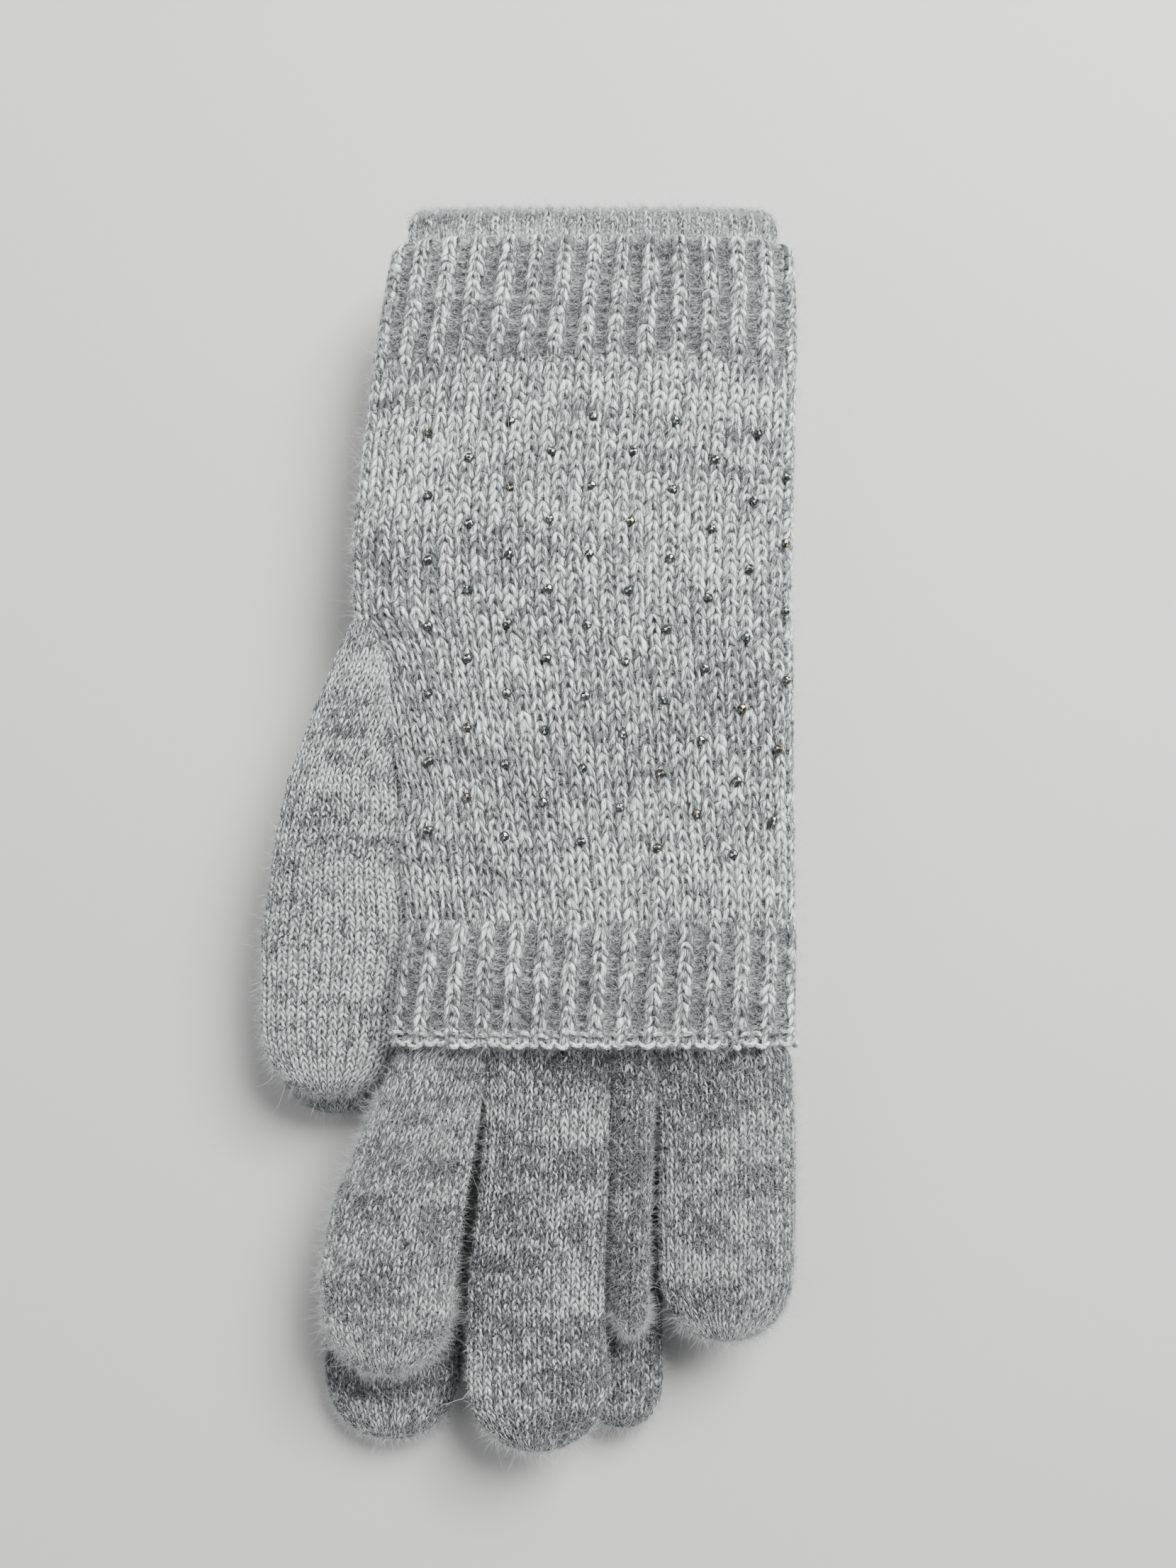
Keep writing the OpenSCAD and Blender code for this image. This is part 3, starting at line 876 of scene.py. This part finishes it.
def yarn_attributes(shade, depth, knit):
    """What the yarn's material reads at each point, and the share of it that the inner face keeps; the
    smaller tone and depth make the inner face darker, a painted shade inside the sleeve.
    """
    return {"tone": (shade, 0.7), "depth": (depth, 0.5), "knit": (knit, 1.0)}


def mitt_body(hand, seed, wander):
    """The plain knit of the over-mitt, cut open along its thumb side."""
    node = hand + "_mitt_body"
    samples = (8, 2.8, 5)
    y, v = tube_rows(node, MITT_ROW, samples[2])
    shares, wale = columns(MITT_WALES, samples[0], samples[1], closed=False)
    low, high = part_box(hand + "_mitt_thumb_edge")
    slit_low, slit_high = low.y / MM, high.y / MM
    section = mitt_section(node, y, BODY_INSET)
    cut = (y > slit_low - 0.5) & (y < slit_high + 0.5)
    left = section.x - section.a
    right = section.x + section.a
    left = np.where(cut, np.interp(y, y[~cut], left[~cut]), left)
    section.x, section.a = (left + right) / 2, (right - left) / 2
    ramp = 13.0
    gape = smoothstep(0, ramp, y - slit_low) * smoothstep(0, ramp, slit_high - y)
    slit = gape > 1e-4
    perimeter = 4 * section.a + 2.6 * section.b
    cut_share = (gape * (section.b - 1.2) / perimeter)[:, None]
    crowd = 0.17
    near_start = (1 - np.clip(shares / crowd, 0, 1)) ** 2
    near_end = (1 - np.clip((1 - shares) / crowd, 0, 1)) ** 2
    shares = shares[None, :] + cut_share * (near_start - near_end)[None, :]
    u = np.broadcast_to(wale, shares.shape).copy()
    v = np.broadcast_to(v[:, None], shares.shape).copy()
    u += meander(u, y[:, None], wander)
    v += 0.22 * smooth_noise(u / 9, v / 12, seed + 31) * level_ends(y)
    height, depth, knit = plain_knit(u, v, seed)
    shade = melange(u, v, seed, strength=1.3)
    mirror = mirror_height(hand, section)
    stand = BODY_RELIEF * height + 0.28 * smooth_noise(u / 6, v / 8, seed + 32) * level_ends(y)
    obj, outer, normal = open_tube(node, section, shares, stand, yarn_attributes(shade, depth, knit), 1.3,
                                   MITT_WALES, slit, mirror, tuck=(TUCK, TUCK))
    return obj, outer, normal, slit


def rope(name, path, radius, lay, sides, seed, tone=0.6):
    """A closed loop of yarn laid in short twists along a path of points."""
    rng = np.random.default_rng(seed)
    length, points_at = measured_ring(path)
    count = int(length / ROPE_STEP)
    place = np.arange(count) / count * length
    line = points_at(place)
    for _ in range(6):
        line = (np.roll(line, 1, 0) + 2 * line + np.roll(line, -1, 0)) / 4
    tangent = unit(np.roll(line, -1, 0) - np.roll(line, 1, 0))
    side = unit(np.cross(tangent, np.array([0.93, 0.0, 0.37])))
    third = np.cross(tangent, side)
    turn = 2 * np.pi * np.arange(sides) / sides
    turns = round(length / lay)
    phase = 2 * np.pi * turns * place[:, None] / length
    bulge = np.abs(np.cos(0.5 * (turn[None, :] - phase)))
    r = radius * (0.70 + 0.36 * bulge)
    points = line[:, None] + r[..., None] * (np.cos(turn)[None, :, None] * side[:, None]
                                             + np.sin(turn)[None, :, None] * third[:, None])
    index = np.arange(count * sides).reshape(count, sides)
    index = np.concatenate([index, index[:1]])
    faces = [grid_quads(index, True)]
    shade = np.clip(tone + 0.3 * smooth_noise(phase / 6 + turn[None, :] * 0, phase / 19, seed)
                    + 0.1 * rng.normal(size=(count, 1)), 0, 1)
    shade = np.broadcast_to(shade, (count, sides))
    # how deep each point lies in the twist; besides the bumps, the material darkens the grooves with it as
    # painted shade
    depth = np.broadcast_to(0.35 + 0.65 * bulge, (count, sides))
    return add_mesh(name, points.reshape(-1, 3), faces,
                    {"tone": shade.reshape(-1), "depth": depth.reshape(-1),
                     "knit": np.zeros((shade.size, 3))})


def on_mitt(hand, x, y, side):
    """A place near the over-mitt's surface at x and y, and the way it faces. side is 1 above and -1 below.
    It takes MITT_POWER for the height too, so close to the sleeve's sides it lies above the knit."""
    section = mitt_section(hand + "_mitt_body", [y], BODY_INSET)
    a, b = section.a[0], section.b[0]
    across = np.clip((x - section.x[0]) / a, -0.96, 0.96)
    up = (1 - abs(across) ** MITT_POWER) ** (1 / MITT_POWER)
    facing = np.array([np.sign(across) * abs(across) ** (MITT_POWER - 1) / a, 0,
                       side * up ** (MITT_POWER - 1) / b])
    facing /= np.linalg.norm(facing)
    place = np.array([section.x[0] + a * across, y, section.z[0] + side * b * up])
    return place + facing * STONE_SEAT, facing


def make_crystals(hand, seed):
    """Faceted flat-back stones, one for each in the CAD, moved to the visual over-mitt."""
    rng = np.random.default_rng(seed)
    mesh = frame["nodes"][hand + "_crystals"].data
    co = np.empty(len(mesh.vertices) * 3)
    mesh.vertices.foreach_get("co", co)
    co = co.reshape(-1, 3) / MM
    groups = []
    for point in co:
        for group in groups:
            if np.linalg.norm(point - group[0]) < 3.2:
                group.append(point)
                break
        else:
            groups.append([point])
    points, tris, quads, tint, tri_tone, quad_tone = [], [], [], [], [], []
    for group in groups:
        cloud = np.unique(np.round(np.array(group), 4), axis=0)
        centre = cloud.mean(0)
        axis = np.linalg.svd(cloud - centre)[2][2]
        axis *= np.sign(axis[2]) * (1 if hand == "left" else -1)
        heights = (cloud - centre) @ axis
        tall = heights.max() - heights.min()
        foot, axis = on_mitt(hand, centre[0], centre[1], np.sign(axis[2]))
        tilt = rng.normal(size=3) * 0.10
        axis = axis + tilt - (tilt @ axis) * axis
        axis /= np.linalg.norm(axis)
        side = np.cross(axis, [0.3, 1, 0.1])
        side /= np.linalg.norm(side)
        third = np.cross(axis, side)
        spin = rng.random() * math.pi
        radius = 1.16
        rings = ((0.0, 0.92, 0.0), (0.42, 1.0, 0.0), (0.74, 0.86, 0.5), (1.0, 0.62, 0.0))
        start = len(points)
        facets = 8
        for level, share, offset in rings:
            for m in range(facets):
                turn = spin + 2 * math.pi * (m + offset) / facets
                points.append(foot + axis * tall * level
                              + radius * share * (math.cos(turn) * side + math.sin(turn) * third))
        points.append(foot + axis * (tall + 0.22))
        spark = rng.integers(facets)
        for m in range(facets):
            n = (m + 1) % facets
            a, b = start + m, start + n
            quads.append([a, b, b + facets, a + facets])
            c, d = a + facets, b + facets
            e, f = start + 2 * facets + m, start + 2 * facets + n
            g, h = start + 3 * facets + m, start + 3 * facets + n
            tris += [[c, d, e], [d, f, e], [e, h, g], [e, f, h], [g, h, len(points) - 1],
                     [start + n, start + m, start + 4 * facets + 1]]
            quad_tone.append(0.0)
            # painted glints: one table facet is white and the one across from it light grey, and now and then
            # a crown facet is light
            glint = (m - spark) % facets
            table = 1.0 if glint == 0 else 0.7 if glint == 4 else 0.35 * rng.random()
            crown = 0.25 * rng.random(4) + 0.6 * (rng.random(4) > 0.96)
            tri_tone += list(crown) + [table, 0.0]
        points.append(foot)
        tint += [rng.random()] * (len(rings) * facets + 2)
    stones = add_mesh(hand + "_crystals_cut", np.array(points), [np.array(quads), np.array(tris)],
                      {"tint": np.array(tint)}, smooth=False)
    facet = stones.data.attributes.new("facet", "FLOAT", "FACE")
    facet.data.foreach_set("value", np.array(quad_tone + tri_tone, np.float32))
    return stones


def make_mitt(hand, seed):
    """The over-mitt: its ribs, plain knit, bound-off edge, thumb edging, stones and hairs."""
    body = hand + "_mitt"
    back_up = 1 if hand == "left" else -1
    wander = seed + 90
    fuzzy = []

    rib, outer, normal = rib_piece(hand + "_wrist_rib", hand + "_mitt_wrist_rib", hand, WRIST_RIB_ROW,
                                   MITT_WALES // 2, seed + 1, 1.75, 1.35, RIB_SAMPLES, MITT_WALL,
                                   end_roll=(0, 1.6), wander=wander, join=RIB_JOIN, tuck=(TUCK, 0),
                                   meets=hand + "_mitt_body")
    fuzzy.append(("wrist_rib", outer, normal))
    finish_piece(rib, MITT_YARN, body, [hand + "_mitt_wrist_rib"])

    plain, outer, normal, slit = mitt_body(hand, seed + 2, wander)
    plain.name = hand + "_mitt_plain_knit"
    fuzzy.append(("plain", outer, normal))
    finish_piece(plain, MITT_YARN, body, [hand + "_mitt_body"])
    slit_rows = np.nonzero(slit)[0]
    front = outer[slit_rows[0] - 1:slit_rows[-1] + 2, 0]
    back = outer[slit_rows[0] - 1:slit_rows[-1] + 2, -1]
    loop = np.concatenate([front, back[-2:0:-1]])
    middle = loop.mean(0)
    loop = loop + np.array([0.9, 0, 0]) + (middle - loop) * np.array([0, 0, 0.10])
    trim = rope(hand + "_thumb_edging", loop, 0.95, 2.2, 10, seed + 3)
    finish_piece(trim, MITT_YARN, body, [hand + "_mitt_thumb_edge"])

    # The knuckle rib's yarn colour is 0.06 darker than the rest of the over-mitt's: a painted shade.
    rib, outer, normal = rib_piece(hand + "_knuckle_rib", hand + "_mitt_knuckle_rib", hand, KNUCKLE_RIB_ROW,
                                   MITT_WALES // 2, seed + 4, 1.6, 1.25, RIB_SAMPLES, MITT_WALL,
                                   wander=wander, join=-RIB_JOIN, tuck=(TUCK, TUCK),
                                   meets=hand + "_mitt_body", tone=-0.06)
    fuzzy.append(("knuckle_rib", outer, normal))
    finish_piece(rib, MITT_YARN, body, [hand + "_mitt_knuckle_rib"])

    rim, outer, normal = rib_piece(hand + "_bind_off", hand + "_mitt_bind_off_edge", hand, KNUCKLE_RIB_ROW,
                                   MITT_WALES // 2, seed + 5, 1.6, 1.25, RIB_SAMPLES, 1.0,
                                   end_roll=(1.6, 0), wander=wander, join=3.2, tuck=(0, TUCK))
    fuzzy.append(("bind_off", outer, normal))
    chain = yarn_loops("chain", outer, 3, MITT_WALES, 0.5, 1.9, 1.3, 0.60, 0.15, seed + 6, 0.85, back_up)
    bars = yarn_loops("bars", outer, 7, MITT_WALES, 0.0, 1.3, -0.5, 0.5, 0.1, seed + 7, 0.6, back_up)
    rim = merge([rim, chain, bars], hand + "_bind_off")
    finish_piece(rim, MITT_YARN, body, [hand + "_mitt_bind_off_edge"])

    stones = make_crystals(hand, seed + 8)
    finish_piece(stones, CRYSTAL, body, [hand + "_crystals"])

    for part, outer, normal in fuzzy:
        count = {"wrist_rib": 12000, "plain": 26000, "knuckle_rib": 9000, "bind_off": 5000}[part]
        hairs = fuzz(f"{hand}_{part}_fuzz", [(outer, normal)], count, seed + 50, 1.9, 0.8, 0.020, segments=1,
                     facing=(0, 0, back_up))
        halo = fuzz("halo", [(outer, normal)], count // 3, seed + 53, **HALO)
        hairs = merge([hairs, halo], f"{hand}_{part}_fuzz")
        finish_piece(hairs, MITT_HAIR, body)
    everywhere = [part[1:] for part in fuzzy]
    guard = fuzz(hand + "_mitt_guard_hairs", everywhere, 420, seed + 51, lift=0.35, facing=(0, 0, back_up),
                 **GUARD)
    stray = fuzz(hand + "_mitt_stray_hairs", everywhere, 3000, seed + 52, 3.6, 0.55, 0.020, segments=4,
                 curl=1.3, facing=(0, 0, back_up))
    guard = merge([guard, stray], hand + "_mitt_guard_hairs")
    finish_piece(guard, MITT_HAIR, body)


# ---------------------------------------------------------------- the gloves

def mitt_left(hand, y):
    """The over-mitt's thumb-side edge at y."""
    for part in ("_mitt_bind_off_edge", "_mitt_knuckle_rib", "_mitt_body"):
        low, high = cad_span(hand + part)
        if y < high:
            return cad_sections(hand + part, [max(y, low + 0.05)])[0, 0]
    return 0.0


def make_digit(hand, name, seed):
    """A knitted finger or thumb: a soft tube, closed at its tip, whose root runs into the glove."""
    thumb = name == "thumb"
    node = f"{hand}_{name}" + ("" if thumb else "_finger")
    body = f"{hand}_{name}"
    low, high = cad_span(node)
    palm_end = cad_span(hand + "_palm")[0]
    joint = next(j for j in frame["joints"] if j["child"] == body)
    axis_y, axis_z = (value / MM for value in joint["pos_m"][1:])
    middle = cad_sections(node, np.array([(low + high) / 2]))[0]
    width = middle[1] - middle[0]
    dome = 0.52 * width if width > 12 else 0.8 * width
    if thumb:
        dome = 16.0
    root = high + THUMB_RUN if thumb else palm_end + 0.05
    ys = np.concatenate([np.arange(root, low + dome, -1.0), [low + dome]])
    inside = np.clip(ys, None, high - 0.05)
    x0, x1, z0, z1 = cad_sections(node, inside).T
    if thumb:
        above = np.clip(ys - high, 0, None) / THUMB_RUN
        x0 = x0 + 9 * smoothstep(-0.1, 1, above) * (ys > high - 2)
        x1 = x1 - 10.5 * smoothstep(-0.2, 1, above) * (ys > high - 3)
        z1 = z1 - 1.5 * above
        z0 = z0 + 1.5 * above
        beside = np.array([mitt_left(hand, y) for y in ys]) - 0.8
        wider = np.maximum(x1, np.minimum(beside, x1 + 3.6))
        x1 = x1 + (wider - x1) * smoothstep(30, 4, ys)
        window = np.hanning(21)[1:-1]
        x1 = np.convolve(np.pad(x1, 9, "edge"), window / window.sum(), "valid")
    else:
        t = smoothstep(axis_y + 2.0, palm_end, ys)
        palm = cad_sections(hand + "_palm", np.array([palm_end + 0.5]))[0]
        x0 = x0 + t * (np.maximum(palm[0], x0) - x0)
        x1 = x1 + t * (np.minimum(palm[1], x1) - x1)
        # Only the last digit changes here, but fuzz cuts its count of hairs with int, so it matters there.
        z0 = axis_z + (z0 - axis_z)
    cx, cz = (x0 + x1) / 2, (z0 + z1) / 2
    if not thumb:
        slim = smoothstep(axis_y + 2, axis_y - 16, ys)
        x0 = x0 + slim * {"index": 0.1, "little": 1.2}.get(name, 0.7)
        x1 = x1 - slim * {"index": 1.2, "little": 0.1}.get(name, 0.7)
        cx = (x0 + x1) / 2
    a, b = (x1 - x0) / 2 + 0.05, np.full(len(ys), (middle[3] - middle[2]) / 2 - 0.75)
    if thumb:
        b = np.minimum(b, (z1 - z0) / 2 - 0.6)
    else:
        b = np.minimum(b, np.maximum((z1 - z0) / 2 - 0.5, b - 0.4))
    turn = np.linspace(0, 1, DOME_RINGS)[1:] * (math.pi / 2 * 0.985)
    ys = np.concatenate([ys, low + dome - (dome - 0.4) * np.sin(turn)])
    drift_x = (cx[-1] - cx[-6]) / 5
    drift_z = (cz[-1] - cz[-6]) / 5
    past = (dome - 0.4) * np.sin(turn)
    cx = np.concatenate([cx, cx[-1] + drift_x * past * 0.6])
    cz = np.concatenate([cz, cz[-1] + drift_z * past])
    a = np.concatenate([a, a[-1] * np.cos(turn) ** 0.9])
    b = np.concatenate([b, b[-1] * np.cos(turn) ** 0.55])
    travel = np.concatenate([[0], np.cumsum(np.hypot(np.diff(ys), np.diff(cz + b)))])
    samples = 5
    rows = int(travel[-1] / GLOVE_ROW)
    at = np.linspace(0, travel[-1], rows * samples + 1)
    root_square = smoothstep(axis_y - 8, axis_y + 4, ys) if not thumb else np.zeros(len(ys))
    power = 2.2 + 4.2 * root_square
    section = Section(*(np.interp(at, travel, value) for value in (ys, cx, cz, a, b, power)))
    wales = 2 * max(5, round((width * 2 + 9) / 2 / GLOVE_WALE))
    shares, wale = columns(wales, 6, 4)
    u, v = stitch_grid(wale, -np.linspace(0, rows, len(at)))
    u += 0.12 * smooth_noise(u / 7, v / 9, seed + 30)
    v += 0.25 * smooth_noise(u / 9, v / 12, seed + 31)
    height, depth, knit = plain_knit(u, v, seed)
    # painted shade on this digit's colour, or painted light where the value is below 0
    darker = DIGIT_PAINTED_SHADE.get((hand, name), 0)
    shade = melange(u, v, seed, streak=6.0, strength=2.3) - darker
    taper = np.clip(section.a / section.a.max() * 1.3, 0, 1)[:, None]
    stand = (0.62 * height + 0.22 * smooth_noise(u / 6, v / 9, seed + 32)) * taper
    tip = np.array([section.x[-1], section.y[-1] - 0.2, section.z[-1]])
    obj, outer, normal = closed_tube(node + "_knit", section, shares, stand,
                                     yarn_attributes(shade, depth, knit), GLOVE_WALL, wales, tip)
    x, y, z = joint["pos_m"]
    if thumb:
        bend = ((x + 0.008, y + 0.014, z), (x - 0.002, y - 0.016, z))
    else:
        bend = ((x, y + 0.005, z), (x, y - 0.009, z))
    finish_piece(obj, GLOVE_YARN, body, [node], bend)
    shown = (lambda p: p[:, 1] < high + 2) if thumb else (lambda p: p[:, 1] < palm_end - 1)
    hairs = fuzz(node + "_fuzz", [(outer, normal)], 13000 if width > 12 else 7000, seed + 50, 2.0, 0.9, 0.020,
                 segments=1, keep=shown, facing=(0, 0, 1))
    tip_y = low + (6 if name in ("middle", "ring") else 60)
    outside = (lambda p: p[:, 0] > cx[0]) if name == "little" else (lambda p: p[:, 0] < cx[0])
    exposed = (lambda p: shown(p) & (p[:, 1] < tip_y) & (outside(p) | (p[:, 1] < low + 6)))
    halo = fuzz("halo", [(outer, normal)], 9000, seed + 52, keep=exposed, **HALO)
    hairs = merge([hairs, halo], node + "_fuzz")
    finish_piece(hairs, GLOVE_HAIR, body, bend=bend)
    guard = fuzz(node + "_guard_hairs", [(outer, normal)], 60, seed + 51, lift=0.4, keep=shown,
                 facing=(0, 0, 1), **GUARD)
    finish_piece(guard, GLOVE_HAIR, body, bend=bend)


def make_palm(hand, seed):
    """The hand of the glove, mostly hidden inside the over-mitt."""
    node = hand + "_palm"
    low, high = cad_span(node)
    y = np.concatenate([np.linspace(low, low + PALM_SHOWN, 51), np.arange(low + 17.4, high, 2.0), [high]])
    v = (y - low) / GLOVE_ROW
    shares, wale = columns(PALM_WALES, 3, 3)
    u, v = stitch_grid(wale, v)
    section = mitt_section(node, y, 0.3, PALM_POWER)
    smooth = np.ones(9) / 9
    ramp_low, ramp_high = cad_span(hand + "_thumb")[1] - 52, cad_span(hand + "_thumb")[1] + 16
    near = (y > ramp_low) & (y < ramp_high)
    left, right = section.x - section.a, section.x + section.a
    padded = np.pad(left, 4, mode="edge")
    left = np.where(near, np.maximum(np.convolve(padded, smooth, "valid"), left), left)
    section.x, section.a = (left + right) / 2, (right - left) / 2
    height, depth, knit = plain_knit(u, v, seed)
    height = np.where((y < low + PALM_SHOWN)[:, None], height, 0.6)
    shade = melange(u, v, seed, streak=7.0)
    mirror = mirror_height(hand, section)
    obj, _, _ = open_tube(node + "_knit", section, shares, 0.45 * height,
                          yarn_attributes(shade, depth, knit), GLOVE_WALL, PALM_WALES, mirror_z=mirror)
    finish_piece(obj, GLOVE_YARN, hand + "_glove", [node])


def make_cuff(hand, seed):
    """The glove's fine ribbed cuff."""
    node = hand + "_cuff"
    obj, outer, normal = rib_piece(node + "_rib", node, hand, GLOVE_ROW, CUFF_RIBS, seed, 1.0, 1.2, (9, 7, 5),
                                   1.0, end_roll=(0, 2.6), plain=0.5, tone=0.15, flare=1.3)
    finish_piece(obj, GLOVE_YARN, hand + "_glove", [node])
    shown = cad_span(hand + "_mitt_wrist_rib")[1]
    end = cad_span(node)[1]
    hairs = fuzz(node + "_fuzz", [(outer, normal)], 40000, seed + 50, 2.4, 0.95, 0.021, segments=1,
                 keep=lambda p: p[:, 1] > shown - 1)
    halo = fuzz(node + "_halo", [(outer, normal)], 150000, seed + 51, 2.3, 1.0, 0.020, segments=1,
                keep=lambda p: p[:, 1] > end - 2.5)
    hairs = merge([hairs, halo], node + "_fuzz")
    finish_piece(hairs, MITT_HAIR, hand + "_glove")


# ---------------------------------------------------------------- the scene

def make_stage():
    """Pale paper under the pair, a dim sky, and two soft lamps."""
    bpy.ops.mesh.primitive_plane_add(size=6, location=(0, 0, -0.0004))
    floor = bpy.context.object
    floor.name = "floor"
    material, _, shader = node_tree("floor_paper")
    shader.inputs["Base Color"].default_value = (0.60, 0.59, 0.575, 1)
    shader.inputs["Roughness"].default_value = 0.9
    floor.data.materials.append(material)

    world = bpy.data.worlds.new("studio")
    world.use_nodes = True
    background = world.node_tree.nodes["Background"]
    background.inputs["Color"].default_value = (0.93, 0.96, 1.0, 1)
    background.inputs["Strength"].default_value = 0.30
    bpy.context.scene.world = world

    def area(name, place, target, size, power, colour=(1, 1, 1)):
        data = bpy.data.lights.new(name, "AREA")
        data.size = size
        data.energy = power
        data.color = colour
        lamp = bpy.data.objects.new(name, data)
        lamp.location = place
        lamp.rotation_euler = (Vector(target) - Vector(place)).to_track_quat("-Z", "Y").to_euler()
        bpy.context.scene.collection.objects.link(lamp)

    area("key", (0.50, 0.62, 0.85), (0, 0, 0), 0.6, 36)
    area("fill", (-0.9, 0.1, 0.8), (0, 0, 0), 0.9, 4)


def make_camera():
    """Almost straight above the pair, tipped a little towards the wrists."""
    data = bpy.data.cameras.new("camera")
    data.lens = 27.03
    data.sensor_width = 36
    camera = bpy.data.objects.new("camera", data)
    camera.location = (0.0122, -0.0290, 0.2830)
    camera.rotation_euler = (math.radians(7.3), 0, 0)
    bpy.context.scene.collection.objects.link(camera)
    bpy.context.scene.camera = camera


make_camera()
make_stage()
for number, hand in enumerate(HANDS):
    seed = 1000 * (number + 1)
    make_mitt(hand, seed)
    make_palm(hand, seed + 100)
    make_cuff(hand, seed + 200)
    for k, digit in enumerate(("thumb",) + FINGERS):
        make_digit(hand, digit, seed + 300 + 20 * k)
